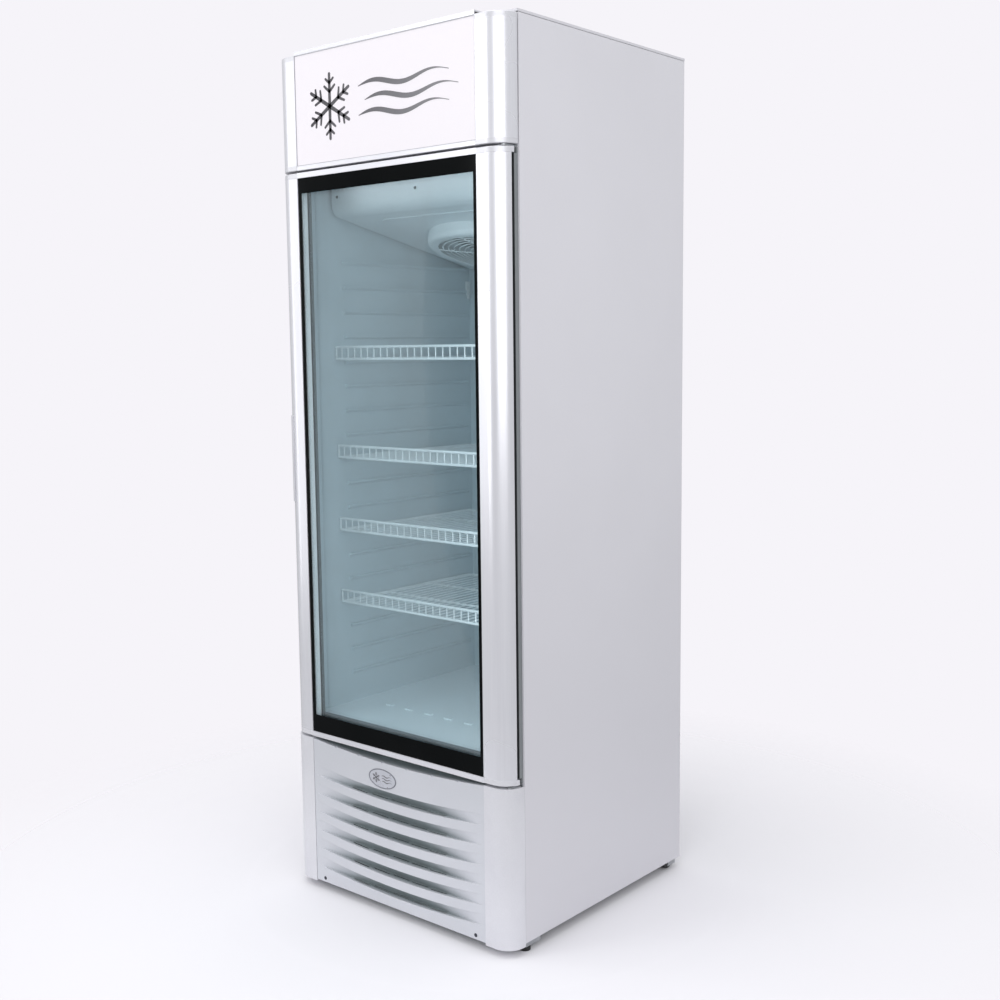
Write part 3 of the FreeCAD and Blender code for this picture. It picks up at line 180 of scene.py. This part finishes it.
LOOKS = {
    "side_paint": surface("side_paint", srgb(214, 213, 219), srgb(219, 218, 224), (0.30, 0.36),
                          1.6, 420.0, 0.015, speckle=0.012, edge=0.8, worn=grey(196),
                          fixed={"Coat Weight": 0.25, "Coat Roughness": 0.12},
                          # painted shade: the side panel darkens towards the floor
                          low_shade=(srgb(202, 201, 207), 1.1)),
    "roof_paint": surface("roof_paint", srgb(208, 207, 213), srgb(216, 215, 221), (0.38, 0.46),
                          2.0, 420.0, 0.02, speckle=0.015, edge=0.8, worn=grey(190)),
    "grille_paint": surface("grille_paint", srgb(196, 197, 200), srgb(206, 207, 210), (0.42, 0.5),
                            3.0, 420.0, 0.02, speckle=0.02, edge=0.4, worn=grey(165)),
    "foam": surface("foam", srgb(226, 208, 152), srgb(238, 224, 176), (0.85, 0.95),
                    14.0, 260.0, 0.5, speckle=0.08),
    "liner": surface("liner", srgb(204, 214, 219), srgb(212, 221, 226), (0.34, 0.42),
                     2.5, 700.0, 0.02, speckle=0.01),
    "liner_pale": surface("liner_pale", srgb(238, 244, 247), srgb(244, 249, 252), (0.34, 0.42),
                          2.5, 700.0, 0.02, speckle=0.01),
    "inner_grey": surface("inner_grey", srgb(92, 96, 99), srgb(104, 108, 111), (0.4, 0.5),
                          4.0, 420.0, 0.02, speckle=0.02, edge=0.5, worn=grey(150)),
    "frame_grey": surface("frame_grey", srgb(120, 124, 127), srgb(132, 136, 139), (0.4, 0.5),
                          4.0, 420.0, 0.02, speckle=0.02, edge=0.5, worn=grey(175)),
    "silver": surface("silver", srgb(223, 223, 229), srgb(229, 229, 235), (0.25, 0.29),
                      1.2, 420.0, 0.0006, DRAWN_UP, 0.02, 0.5, srgb(238, 238, 242),
                      {"Metallic": 0.55, "Coat Weight": 0.15, "Coat Roughness": 0.2}),
    "silver_rail": surface("silver_rail", srgb(220, 220, 226), srgb(228, 228, 234), (0.26, 0.32),
                           1.2, 420.0, 0.0006, DRAWN_ACROSS, 0.02, 0.5, srgb(240, 240, 244),
                           {"Metallic": 0.5}),
    "silver_plastic": surface("silver_plastic", srgb(208, 208, 214), srgb(218, 218, 223),
                              (0.30, 0.36), 5.0, 600.0, 0.002, speckle=0.03, edge=0.5,
                              worn=srgb(236, 236, 240), fixed={"Metallic": 0.35}),
    "kick_silver": surface("kick_silver", srgb(198, 200, 206), srgb(204, 206, 212), (0.33, 0.40),
                           2.2, 600.0, 0.002, speckle=0.025, edge=0.8, worn=srgb(232, 232, 238),
                           # painted shade: the kick panel's recesses darken with depth
                           fixed={"Metallic": 0.3}, recess_shade=(srgb(138, 148, 151), 2.5, 15.0)),
    "reflector_white": surface("reflector_white", srgb(238, 238, 236), srgb(245, 245, 243),
                               (0.45, 0.55), 3.0, 400.0, 0.02),
    "cover_white": surface("cover_white", srgb(224, 230, 233), srgb(232, 237, 240), (0.32, 0.4),
                           3.0, 800.0, 0.015, speckle=0.012, edge=1.0),
    "guard_white": surface("guard_white", srgb(248, 250, 251), srgb(253, 254, 255), (0.3, 0.38),
                           6.0, 900.0, 0.02, speckle=0.02, edge=0.3),
    "shelf_white": surface("shelf_white", srgb(246, 248, 249), srgb(252, 253, 254), (0.25, 0.34),
                           9.0, 1300.0, 0.01, speckle=0.02),
    "sensor_white": surface("sensor_white", srgb(225, 226, 226), srgb(235, 236, 236), (0.4, 0.5),
                            20.0, 900.0, 0.02, edge=0.4),
    "fan_black": surface("fan_black", srgb(34, 36, 38), srgb(44, 46, 48), (0.4, 0.5),
                         12.0, 900.0, 0.02, speckle=0.08, edge=0.4, worn=srgb(74, 76, 78)),
    "motor_steel": surface("motor_steel", srgb(120, 122, 126), srgb(142, 144, 148), (0.35, 0.5),
                           18.0, 700.0, 0.02, speckle=0.05, edge=0.5, worn=grey(190),
                           fixed={"Metallic": 0.9}),
    "fin_metal": surface("fin_metal", srgb(172, 176, 180), srgb(192, 196, 200), (0.3, 0.42),
                         8.0, 900.0, 0.02, (1, 1, 0.1), 0.05, fixed={"Metallic": 0.95}),
    "knob_grey": surface("knob_grey", srgb(92, 96, 100), srgb(106, 110, 114), (0.42, 0.52),
                         20.0, 1100.0, 0.03, speckle=0.05, edge=0.6, worn=grey(150)),
    "base_steel": surface("base_steel", srgb(152, 155, 158), srgb(182, 185, 188), (0.32, 0.48),
                          22.0, 600.0, 0.02, speckle=0.05, edge=0.5, worn=grey(214),
                          fixed={"Metallic": 0.85}),
    "black_paint": surface("black_paint", srgb(26, 27, 29), srgb(37, 38, 40), (0.28, 0.42),
                           9.0, 500.0, 0.03, speckle=0.06, edge=0.8, worn=srgb(80, 80, 82)),
    "copper": surface("copper", srgb(176, 104, 70), srgb(206, 136, 98), (0.25, 0.45),
                      26.0, 900.0, 0.01, speckle=0.05, fixed={"Metallic": 1.0}),
    "tray_black": surface("tray_black", srgb(40, 42, 44), srgb(52, 54, 56), (0.45, 0.6),
                          14.0, 900.0, 0.03, speckle=0.06, edge=0.6),
    "box_grey": surface("box_grey", srgb(120, 123, 126), srgb(134, 137, 140), (0.45, 0.55),
                        8.0, 1000.0, 0.03, speckle=0.04, edge=0.6, worn=grey(165)),
    "screw_steel": surface("screw_steel", srgb(58, 60, 68), srgb(80, 82, 90), (0.32, 0.45),
                           60.0, 1500.0, 0.01, speckle=0.05, edge=0.25, worn=srgb(140, 142, 150),
                           fixed={"Metallic": 0.7}),
    "bead_grey": surface("bead_grey", srgb(176, 176, 182), srgb(190, 190, 196), (0.35, 0.45),
                         30.0, 1200.0, 0.003, speckle=0.04),
    "rim_grey": surface("rim_grey", srgb(112, 114, 122), srgb(132, 134, 142), (0.3, 0.4),
                        40.0, 1200.0, 0.003, speckle=0.04, fixed={"Metallic": 0.5}),
    "badge_silver": surface("badge_silver", srgb(196, 198, 206), srgb(208, 210, 218),
                            (0.25, 0.33), 18.0, 1500.0, 0.004, DRAWN_ACROSS, 0.03, 0.25,
                            srgb(236, 236, 240), {"Metallic": 0.6}),
    "hinge_steel": surface("hinge_steel", srgb(168, 171, 175), srgb(192, 195, 199), (0.28, 0.4),
                           24.0, 700.0, 0.015, speckle=0.04, edge=0.4, worn=grey(226),
                           fixed={"Metallic": 0.9}),
    "foot_rubber": surface("foot_rubber", srgb(24, 25, 26), srgb(34, 35, 36), (0.55, 0.7),
                           40.0, 900.0, 0.05, speckle=0.1, edge=0.8),
    "roller_black": surface("roller_black", srgb(28, 29, 31), srgb(40, 41, 43), (0.45, 0.6),
                            30.0, 900.0, 0.04, speckle=0.08, edge=0.6),
    "spacer_grey": surface("spacer_grey", srgb(228, 233, 235), srgb(240, 243, 245), (0.3, 0.4),
                           6.0, 1200.0, 0.002, DRAWN_UP, 0.04),
    "gasket_black": surface("gasket_black", srgb(40, 43, 45), srgb(52, 55, 57), (0.45, 0.6),
                            8.0, 900.0, 0.03, speckle=0.05),
    "bush_nylon": surface("bush_nylon", srgb(60, 62, 64), srgb(74, 76, 78), (0.4, 0.5),
                          40.0, 900.0, 0.02, edge=0.3),
}


def zinc(name):
    """Galvanised sheet: spangle cells, each a slightly different grey."""
    material, tree, shader = blank(name)
    here = put(tree, "ShaderNodeTexCoord").outputs["Object"]
    cells = put(tree, "ShaderNodeTexVoronoi", {"Vector": here, "Scale": 75.0, "Randomness": 1.0})
    split = put(tree, "ShaderNodeSeparateColor", {"Color": cells.outputs["Color"]})
    tone = ranged(tree, split.outputs["Red"], 0.0, 1.0)
    colour = blended(tree, tone, srgb(170, 175, 179), srgb(184, 188, 191))
    tree.links.new(colour, shader.inputs["Base Color"])
    tree.links.new(ranged(tree, split.outputs["Green"], 0, 1, 0.34, 0.5),
                   shader.inputs["Roughness"])
    fine = noise(tree, here, 700.0)
    tree.links.new(put(tree, "ShaderNodeBump", {"Height": fine, "Distance": 0.00001}).outputs[0],
                   shader.inputs["Normal"])
    shader.inputs["Metallic"].default_value = 0.85
    return material


ACRYLIC = (srgb(216, 212, 217), srgb(221, 217, 222))


def glow(name, colour, strength, rough, vary):
    """Back-lit acrylic or a lamp tube, a little brighter in patches."""
    material, tree, shader = blank(name)
    here = put(tree, "ShaderNodeTexCoord").outputs["Object"]
    patches = noise(tree, here, 2.2, 2.0)
    fine = noise(tree, here, 900.0)
    tone = ranged(tree, patches, 0.3, 0.7, strength * (1 - vary), strength * (1 + vary))
    tree.links.new(tone, shader.inputs["Emission Strength"])
    base = blended(tree, ranged(tree, fine, 0.3, 0.7), *ACRYLIC)
    tree.links.new(base, shader.inputs["Base Color"])
    tree.links.new(put(tree, "ShaderNodeBump", {"Height": fine, "Distance": 0.000008}).outputs[0],
                   shader.inputs["Normal"])
    shader.inputs["Emission Color"].default_value = colour
    shader.inputs["Roughness"].default_value = rough
    return material


def pane(name, tint, shine):
    """Clear tinted glass with a faint wiped film on it."""
    material, tree, shader = blank(name)
    tree.nodes.remove(shader)
    here = put(tree, "ShaderNodeTexCoord").outputs["Object"]
    film = ranged(tree, noise(tree, here, 5.0, 4.0, 0.6), 0.35, 0.7)
    through = put(tree, "ShaderNodeBsdfTransparent")
    deep = tuple(c * 0.985 for c in tint[:3]) + (1.0,)
    tree.links.new(blended(tree, film, tint, deep), through.inputs["Color"])
    gloss = put(tree, "ShaderNodeBsdfGlossy",
                {"Color": (1, 1, 1, 1), "Roughness": ranged(tree, film, 0, 1, 0.01, 0.05)})
    edge_on = put(tree, "ShaderNodeFresnel", {"IOR": 1.45}).outputs["Fac"]
    part = put(tree, "ShaderNodeMath", {0: edge_on, 1: shine}, operation="MULTIPLY")
    mixed = put(tree, "ShaderNodeMixShader",
                {0: part.outputs["Value"], 1: through.outputs["BSDF"], 2: gloss.outputs["BSDF"]})
    tree.links.new(mixed.outputs["Shader"], tree.nodes["Material Output"].inputs["Surface"])
    return material


def ink(name):
    """Printed grey that lightens towards the right of the sign."""
    material, tree, shader = blank(name)
    here = put(tree, "ShaderNodeTexCoord").outputs["Object"]
    x = put(tree, "ShaderNodeSeparateXYZ", {"Vector": here}).outputs["X"]
    fade = ranged(tree, x, -0.24, 0.24)
    fine = ranged(tree, noise(tree, here, 800.0), 0.3, 0.7, -0.04, 0.04)
    both = put(tree, "ShaderNodeMath", {0: fade, 1: fine}, operation="ADD").outputs["Value"]
    tree.links.new(blended(tree, both, srgb(44, 40, 48), srgb(128, 128, 132)),
                   shader.inputs["Base Color"])
    shader.inputs["Roughness"].default_value = 0.4
    return material


def frit(name):
    """Black ceramic print seen through the front of the glass."""
    material, tree, shader = blank(name)
    here = put(tree, "ShaderNodeTexCoord").outputs["Object"]
    pores = noise(tree, here, 1500.0, 3.0)
    cloud = noise(tree, here, 5.0, 3.0)
    tree.links.new(blended(tree, ranged(tree, cloud, 0.3, 0.7), srgb(5, 7, 8), srgb(11, 13, 14)),
                   shader.inputs["Base Color"])
    tree.links.new(ranged(tree, pores, 0.3, 0.7, 0.05, 0.11), shader.inputs["Roughness"])
    tree.links.new(put(tree, "ShaderNodeBump", {"Height": pores, "Distance": 0.000002}).outputs[0],
                   shader.inputs["Normal"])
    shader.inputs["Specular IOR Level"].default_value = 0.06
    return material


LOOKS["galvanised"] = zinc("galvanised")
LOOKS["sign_white"] = glow("sign_white", srgb(255, 249, 255), 0.12, 0.32, 0.02)
LOOKS["lamp_glass"] = glow("lamp_glass", srgb(250, 252, 255), 3.0, 0.2, 0.02)
LOOKS["glass"] = pane("glass", (0.930, 0.963, 0.974, 1.0), 0.15)
LOOKS["ink"] = ink("ink")
LOOKS["frit"] = frit("frit")

# a CAD slot takes the look of its own name, apart from the slots of these nodes
NODE_LOOKS = {"header_rails": "silver_rail", "door_rails": "silver_rail",
              "door_inner_frame": "inner_grey", "liner_floor": "liner_pale"}
for node_name, obj in NODES.items():
    for entry in obj.material_slots:
        key = entry.material.name.split(".")[0]
        entry.material = LOOKS[NODE_LOOKS.get(node_name, key)]


# ------------------------------------------------------------ mesh helpers
def finish_piece(name, mesh, look, body, smooth_angle=None):
    obj = bpy.data.objects.new(name, mesh)
    bpy.context.scene.collection.objects.link(obj)
    mesh.materials.append(LOOKS[look])
    if smooth_angle:
        mesh.shade_smooth()
        mesh.set_sharp_from_angle(angle=radians(smooth_angle))
    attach(obj, body)
    return obj


def plate_mesh(outlines, depth_0, depth_1, round_mm=0.0):
    """Flat plate facing front from (x, z) outlines in mm; inner outlines are holes.

    round_mm rounds its edges over, and is no more than half the thickness.
    """
    curve = bpy.data.curves.new("outline", "CURVE")
    curve.dimensions = "2D"
    curve.fill_mode = "BOTH"
    curve.extrude = (depth_1 - depth_0) / 2000 - round_mm / 1000
    curve.bevel_depth = round_mm / 1000
    curve.offset = -round_mm / 1000
    curve.bevel_resolution = 2
    for outline in outlines:
        spline = curve.splines.new("POLY")
        spline.points.add(len(outline) - 1)
        for point, (x, z) in zip(spline.points, outline):
            point.co = (x / 1000, z / 1000, 0, 1)
        spline.use_cyclic_u = True
    holder = bpy.data.objects.new("outline", curve)
    bpy.context.scene.collection.objects.link(holder)
    graph = bpy.context.evaluated_depsgraph_get()
    mesh = bpy.data.meshes.new_from_object(holder.evaluated_get(graph))
    bpy.data.objects.remove(holder)
    middle = FRONT + (depth_0 + depth_1) / 2000
    for vertex in mesh.vertices:
        x, z, out = vertex.co
        vertex.co = (x, middle - out, z)
    mesh.materials.clear()
    return mesh


def joined(meshes):
    """One mesh of several."""
    whole = bmesh.new()
    for mesh in meshes:
        whole.from_mesh(mesh)
        bpy.data.meshes.remove(mesh)
    out = bpy.data.meshes.new("joined")
    bmesh.ops.recalc_face_normals(whole, faces=whole.faces)
    whole.to_mesh(out)
    whole.free()
    return out


def rectangle(x0, x1, z0, z1, radius=0.0, steps=6):
    if not radius:
        return [(x0, z0), (x1, z0), (x1, z1), (x0, z1)]
    points = []
    corners = ((x1, z0, -90), (x1, z1, 0), (x0, z1, 90), (x0, z0, 180))
    for x, z, start in corners:
        cx = x - radius if x == x1 else x + radius
        cz = z - radius if z == z1 else z + radius
        for k in range(steps + 1):
            a = radians(start + 90 * k / steps)
            points.append((cx + radius * cos(a), cz + radius * sin(a)))
    return points


def ellipse(cx, cz, a, b, steps=72):
    return [(cx + a * cos(tau * k / steps), cz + b * sin(tau * k / steps)) for k in range(steps)]


def stroke(points, widths):
    """Outline of a ribbon along a line of (x, z) points, with rounded ends."""
    left, right_side = [], []
    count = len(points)
    for k, (x, z) in enumerate(points):
        ax, az = points[max(k - 1, 0)]
        bx, bz = points[min(k + 1, count - 1)]
        angle = atan2(bz - az, bx - ax)
        half = widths[k] / 2
        left.append((x - half * sin(angle), z + half * cos(angle)))
        right_side.append((x + half * sin(angle), z - half * cos(angle)))

    def end(k, turn):
        x, z = points[k]
        other = points[1] if k == 0 else points[-2]
        away = atan2(z - other[1], x - other[0])
        half = widths[k] / 2
        return [(x + half * cos(away + t), z + half * sin(away + t)) for t in turn]

    arc = [radians(a) for a in (60, 30, 0, -30, -60)]
    return left + end(-1, arc) + right_side[::-1] + end(0, arc)


def snow_strokes(cx, cz, radius, width):
    """Six-armed frost star as strokes."""
    lines = []
    for k in range(6):
        a = radians(60 * k + 30)
        tip = (cx + radius * cos(a), cz + radius * sin(a))
        lines.append(([(cx, cz), tip], [width, width * 0.8]))
        for part, reach in ((0.45, 0.30), (0.72, 0.22)):
            root = (cx + radius * part * cos(a), cz + radius * part * sin(a))
            for side in (-1, 1):
                b = a + side * radians(52)
                twig = (root[0] + radius * reach * cos(b), root[1] + radius * reach * sin(b))
                lines.append(([root, twig], [width * 0.75, width * 0.6]))
    return lines


def wave_stroke(x0, x1, z, swing, turns, width, steps=40):
    """Long wave that is thickest a third of the way along and thins out at both ends."""
    points, widths = [], []
    for k in range(steps + 1):
        t = k / steps
        points.append((x0 + (x1 - x0) * t, z + swing * sin(turns * tau * t)))
        widths.append(max(0.14, sin(pi * t ** 0.7)) * width)
    return points, widths


# ------------------------------------------------------------ sign and badge
SIGN_FRONT = 1.5                        # depth of the sign's face
SIGN_X, SIGN_Z0, SIGN_Z1 = 271.8, 1726.1, 1969.9
BEAD_W, BEAD_H = 1.0, 1.3               # the bead's width at the sides, and above and below
STAR_X, STAR_Z, STAR_R = -158, 1846, 70
WAVE_ENDS = ((-66, 200), (-46, 226), (-66, 200))
WAVE_TOP, WAVE_PITCH = 1877, 31
sign_lines = snow_strokes(STAR_X, STAR_Z, STAR_R, 9.0)
for row, (start, stop) in enumerate(WAVE_ENDS):
    sign_lines.append(wave_stroke(start, stop, WAVE_TOP - WAVE_PITCH * row,
                                  swing=7.5, turns=1.5, width=11.0))
sign_motif = joined([plate_mesh([stroke(*line)], SIGN_FRONT - 0.35, SIGN_FRONT - 0.02)
                     for line in sign_lines])
finish_piece("sign_frost_motif", sign_motif, "ink", "cabinet")

bead = plate_mesh([rectangle(-SIGN_X, SIGN_X, SIGN_Z0, SIGN_Z1),
                   rectangle(BEAD_W - SIGN_X, SIGN_X - BEAD_W, SIGN_Z0 + BEAD_H, SIGN_Z1 - BEAD_H)],
                  0.8, SIGN_FRONT - 0.02)
finish_piece("sign_bead", bead, "bead_grey", "cabinet")

BADGE_X, BADGE_Z = -38.0, 325.5
BADGE_A, BADGE_B = 43.0, 22.0           # half width and half height of the oval
KICK_FRONT = 0.98                       # just in front of the kick panel's face
badge_back = plate_mesh([ellipse(BADGE_X, BADGE_Z, BADGE_A, BADGE_B)], 0.45, KICK_FRONT)
badge = finish_piece("badge_oval", badge_back, "badge_silver", "cabinet", 40)
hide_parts("badge_plate")
badge_rim = plate_mesh([ellipse(BADGE_X, BADGE_Z, BADGE_A + 1.0, BADGE_B + 1.0),
                        ellipse(BADGE_X, BADGE_Z, BADGE_A - 1.6, BADGE_B - 1.4)],
                       0.05, KICK_FRONT, 0.25)
finish_piece("badge_rim", badge_rim, "rim_grey", "cabinet", 40)
badge_lines = snow_strokes(BADGE_X - 20, BADGE_Z, 12.0, 1.8)
for row in (-1, 0, 1):
    badge_lines.append(wave_stroke(BADGE_X - 2, BADGE_X + 30, BADGE_Z + 6.5 * row,
                                   swing=1.4, turns=1.5, width=2.4, steps=24))
badge_motif = joined([plate_mesh([stroke(*line)], 0.25, 0.5) for line in badge_lines])
finish_piece("badge_frost_motif", badge_motif, "ink", "cabinet")

# ------------------------------------------------------------ flat strips
PRINT_X, PRINT_Z0, PRINT_Z1 = 272.4, 384.2, 1710.4      # outer edge of the glass's black print
CLEAR_X, CLEAR_Z0, CLEAR_Z1, CLEAR_R = 262.0, 438.0, 1664.7, 1.5    # its inner edge, and corners
border = plate_mesh([rectangle(-PRINT_X, PRINT_X, PRINT_Z0, PRINT_Z1),
                     rectangle(-CLEAR_X, CLEAR_X, CLEAR_Z0, CLEAR_Z1, CLEAR_R)], 2.25, 2.38)
finish_piece("glass_border", border, "frit", "door")

FRAME_X = 341.0                         # outer half width of the cabinet's front frame
SHADE_STRIP_Z0, SHADE_STRIP_Z1 = 397.3, 1697.7        # painted shade: a thin black sheet on the front frame beside the door, in place of the shaded gap behind the door's edge
SHADE_STRIP_IN_X, SHADE_STRIP_IN_Z0, SHADE_STRIP_IN_Z1 = 330.0, 408.0, 1687.0
CLOSING_Z0, CLOSING_Z1 = 1706.0, 1721.0     # from the front frame up to the header
# painted shade: black sheet laid on the frame face where the gap behind the door is in shade
shade_strip = plate_mesh([rectangle(-FRAME_X, FRAME_X, SHADE_STRIP_Z0, SHADE_STRIP_Z1),
                   rectangle(-SHADE_STRIP_IN_X, SHADE_STRIP_IN_X, SHADE_STRIP_IN_Z0, SHADE_STRIP_IN_Z1)], 37.8, 37.99)
finish_piece("frame_shade_strip", shade_strip, "gasket_black", "cabinet")
closing = plate_mesh([rectangle(-FRAME_X, FRAME_X, CLOSING_Z0, CLOSING_Z1)], 50.2, 51.1)
finish_piece("header_closing_strip", closing, "frame_grey", "cabinet")


# ------------------------------------------------------------ screws
def screw_mesh(x, depth, z, radius, height, shank_r, shank, turned):
    """Pan head with a cross recess, facing front, on a plain shank."""
    mesh = bmesh.new()
    rings = []
    sides = 32
    profile = ((shank_r, shank), (shank_r, 0.0), (radius, 0.0), (radius, -height * 0.45),
               (radius * 0.86, -height * 0.85), (radius * 0.55, -height))
    for r, out in profile:
        rings.append([mesh.verts.new(place(x + r * cos(tau * k / sides), depth + out,
                                           z + r * sin(tau * k / sides))) for k in range(sides)])
    for a, b in zip(rings[:-1], rings[1:]):
        for k in range(sides):
            mesh.faces.new((a[k], a[(k + 1) % sides], b[(k + 1) % sides], b[k]))
    arm, half, deep = radius * 0.5, radius * 0.13, height * 0.6
    cross = [(half, half), (half, arm), (-half, arm), (-half, half), (-arm, half), (-arm, -half),
             (-half, -half), (-half, -arm), (half, -arm), (half, -half), (arm, -half), (arm, half)]
    spun = [(px * cos(turned) - pz * sin(turned), px * sin(turned) + pz * cos(turned))
            for px, pz in cross]
    lip = [mesh.verts.new(place(x + px, depth - height, z + pz)) for px, pz in spun]
    pit = [mesh.verts.new(place(x + px * 0.8, depth - height + deep, z + pz * 0.8))
           for px, pz in spun]
    points = len(cross)
    for k in range(points):
        mesh.faces.new((lip[k], lip[(k + 1) % points], pit[(k + 1) % points], pit[k]))
    mesh.faces.new(pit)
    edges = [mesh.edges.get((rings[-1][k], rings[-1][(k + 1) % sides])) for k in range(sides)]
    edges += [mesh.edges.get((lip[k], lip[(k + 1) % points])) for k in range(points)]
    bmesh.ops.triangle_fill(mesh, use_beauty=True, edges=edges)
    mesh.faces.new(rings[0][::-1])
    out_mesh = bpy.data.meshes.new("screw")
    mesh.to_mesh(out_mesh)
    mesh.free()
    return out_mesh


KICK_SCREW_X, KICK_SCREW_Z = 243, 32.0
COVER_SCREW_X, COVER_SCREW_Z = (-272.0, -16.0, 240.0), 1667.0
COVER_FRONT = 121.95                    # just in front of the evaporator cover's face
kick_heads = joined([screw_mesh(side * KICK_SCREW_X, KICK_FRONT, KICK_SCREW_Z, radius=4.4,
                                height=0.9, shank_r=2.5, shank=13.0, turned=0.4 * side)
                     for side in (-1, 1)])
kick_screws = finish_piece("kick_screws", kick_heads, "screw_steel", "cabinet", 35)
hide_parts("panel_screws")
cover_heads = joined([screw_mesh(x, COVER_FRONT, COVER_SCREW_Z, radius=3.6, height=1.6,
                                 shank_r=1.6, shank=1.9, turned=0.3 + 0.01 * x)
                      for x in COVER_SCREW_X])
finish_piece("cover_screws", cover_heads, "screw_steel", "cabinet", 35)


# ------------------------------------------------------------ bellows gasket
def swept_frame(profile, x_out, z_low, z_high):
    """Closed profile of (inset from the outer edge, depth) points swept round a rectangle."""
    mesh = bmesh.new()
    corners = ((-1, -1), (1, -1), (1, 1), (-1, 1))
    loops = []
    for sx, sz in corners:
        z_edge = z_high if sz > 0 else z_low
        loops.append([mesh.verts.new(place(sx * (x_out - w), d, z_edge - sz * w))
                      for w, d in profile])
    count = len(profile)
    for k in range(4):
        a, b = loops[k], loops[(k + 1) % 4]
        for j in range(count):
            mesh.faces.new((a[j], a[(j + 1) % count], b[(j + 1) % count], b[j]))
    bmesh.ops.recalc_face_normals(mesh, faces=mesh.faces)
    out_mesh = bpy.data.meshes.new("gasket")
    mesh.to_mesh(out_mesh)
    mesh.free()
    return out_mesh


GASKET_PROFILE = [
    (1.0, 32.05), (16.5, 32.05), (17.0, 32.9), (14.6, 33.5), (16.9, 34.3), (16.9, 35.0),
    (15.8, 37.2), (14.8, 37.65), (4.2, 37.65), (3.2, 37.2), (2.0, 35.0), (0.3, 34.6),
    (0.3, 33.9), (3.4, 33.4), (1.2, 32.9),
]
bellows = swept_frame(GASKET_PROFILE, x_out=322.0, z_low=398.0, z_high=1697.5)
gasket = finish_piece("door_bellows_gasket", bellows, "gasket_black", "door", 50)
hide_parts("door_gasket")


# ------------------------------------------------------------ floor, world and lights
def floor_look():
    """Pale floor that fades out far from the object."""
    material, tree, shader = blank("floor")
    here = put(tree, "ShaderNodeTexCoord").outputs["Object"]
    far = put(tree, "ShaderNodeVectorMath", {0: here}, operation="LENGTH").outputs["Value"]
    solid = ranged(tree, far, 1.6, 0.6)
    shader.inputs["Base Color"].default_value = srgb(232, 231, 235)
    shader.inputs["Roughness"].default_value = 0.9
    shader.inputs["Specular IOR Level"].default_value = 0.1
    tree.links.new(solid, shader.inputs["Alpha"])
    return material


FLOOR = 3.0                             # half width of the floor, in metres
floor_mesh = bpy.data.meshes.new("floor")
floor_mesh.from_pydata([(-FLOOR, -FLOOR, 0), (FLOOR, -FLOOR, 0), (FLOOR, FLOOR, 0),
                        (-FLOOR, FLOOR, 0)], [], [(0, 1, 2, 3)])
floor_mesh.materials.append(floor_look())
floor = bpy.data.objects.new("floor", floor_mesh)
bpy.context.scene.collection.objects.link(floor)

world = bpy.data.worlds.new("studio")
bpy.context.scene.world = world
world.use_nodes = True
tree = world.node_tree
backdrop = tree.nodes["Background"]
backdrop.inputs["Color"].default_value = srgb(246, 244, 249)
around = put(tree, "ShaderNodeTexCoord").outputs["Generated"]
overhead = put(tree, "ShaderNodeSeparateXYZ", {"Vector": around}).outputs["Z"]
fill = put(tree, "ShaderNodeBackground",
           {"Color": (0.97, 0.98, 1.0, 1.0),
            "Strength": ranged(tree, overhead, -0.1, 0.7, 0.50, 0.86)})
seen = put(tree, "ShaderNodeLightPath").outputs["Is Camera Ray"]
both_worlds = put(tree, "ShaderNodeMixShader",
                  {0: seen, 1: fill.outputs[0], 2: backdrop.outputs[0]})
tree.links.new(both_worlds.outputs[0], tree.nodes["World Output"].inputs["Surface"])


def area_light(name, at, towards, wide, tall, power):
    """Rectangular light at a point, shining along a direction."""
    light = bpy.data.lights.new(name, "AREA")
    light.shape = "RECTANGLE"
    light.size, light.size_y = wide, tall
    light.energy = power
    obj = bpy.data.objects.new(name, light)
    turn = Vector(towards).to_track_quat("-Z", "Y").to_matrix().to_4x4()
    obj.matrix_world = Matrix.Translation(at) @ turn
    bpy.context.scene.collection.objects.link(obj)
    return obj


def softbox(name, azimuth, distance, height, wide, tall, power, aim=1.0):
    """Soft light at an azimuth round the object, aimed at a height on its axis."""
    turn = radians(azimuth)
    at = Vector((distance * sin(turn), -distance * cos(turn), height))
    return area_light(name, at, Vector((0, 0, aim)) - at, wide, tall, power)


softbox("key_left", -24.5, 3.2, 1.8, 1.0, 2.5, 17)
softbox("key_left_high", -45, 3.4, 2.95, 2.4, 1.4, 7)
side_light = softbox("side_high", 100, 3.2, 2.0, 2.4, 1.2, 12, 1.25)
side_light.visible_glossy = False
softbox("flank_left", -54, 3.4, 1.3, 0.7, 2.2, 8)
softbox("key_right", 39, 4.2, 2.2, 3.4, 2.8, 56)
softbox("overhead", 0, 0.6, 4.2, 3.0, 3.0, 42)

# two strips just inside the glass, which light the interior and aren't seen themselves
inside = (
    area_light("inside_fill", (0.25, FRONT + 0.075, 1.05), (-0.30, 0.30, 0), 0.04, 1.15, 0.5),
    area_light("nose_light", (0, FRONT + 0.07, 1.69), (0, 0.30, -0.10), 0.46, 0.02, 0.14),
)
for lamp in inside:
    lamp.visible_camera = False
    lamp.visible_glossy = False
bpy.context.scene.cycles.transparent_max_bounces = 32     # four glass faces, in and out again
bpy.context.scene.view_settings.view_transform = "Standard"
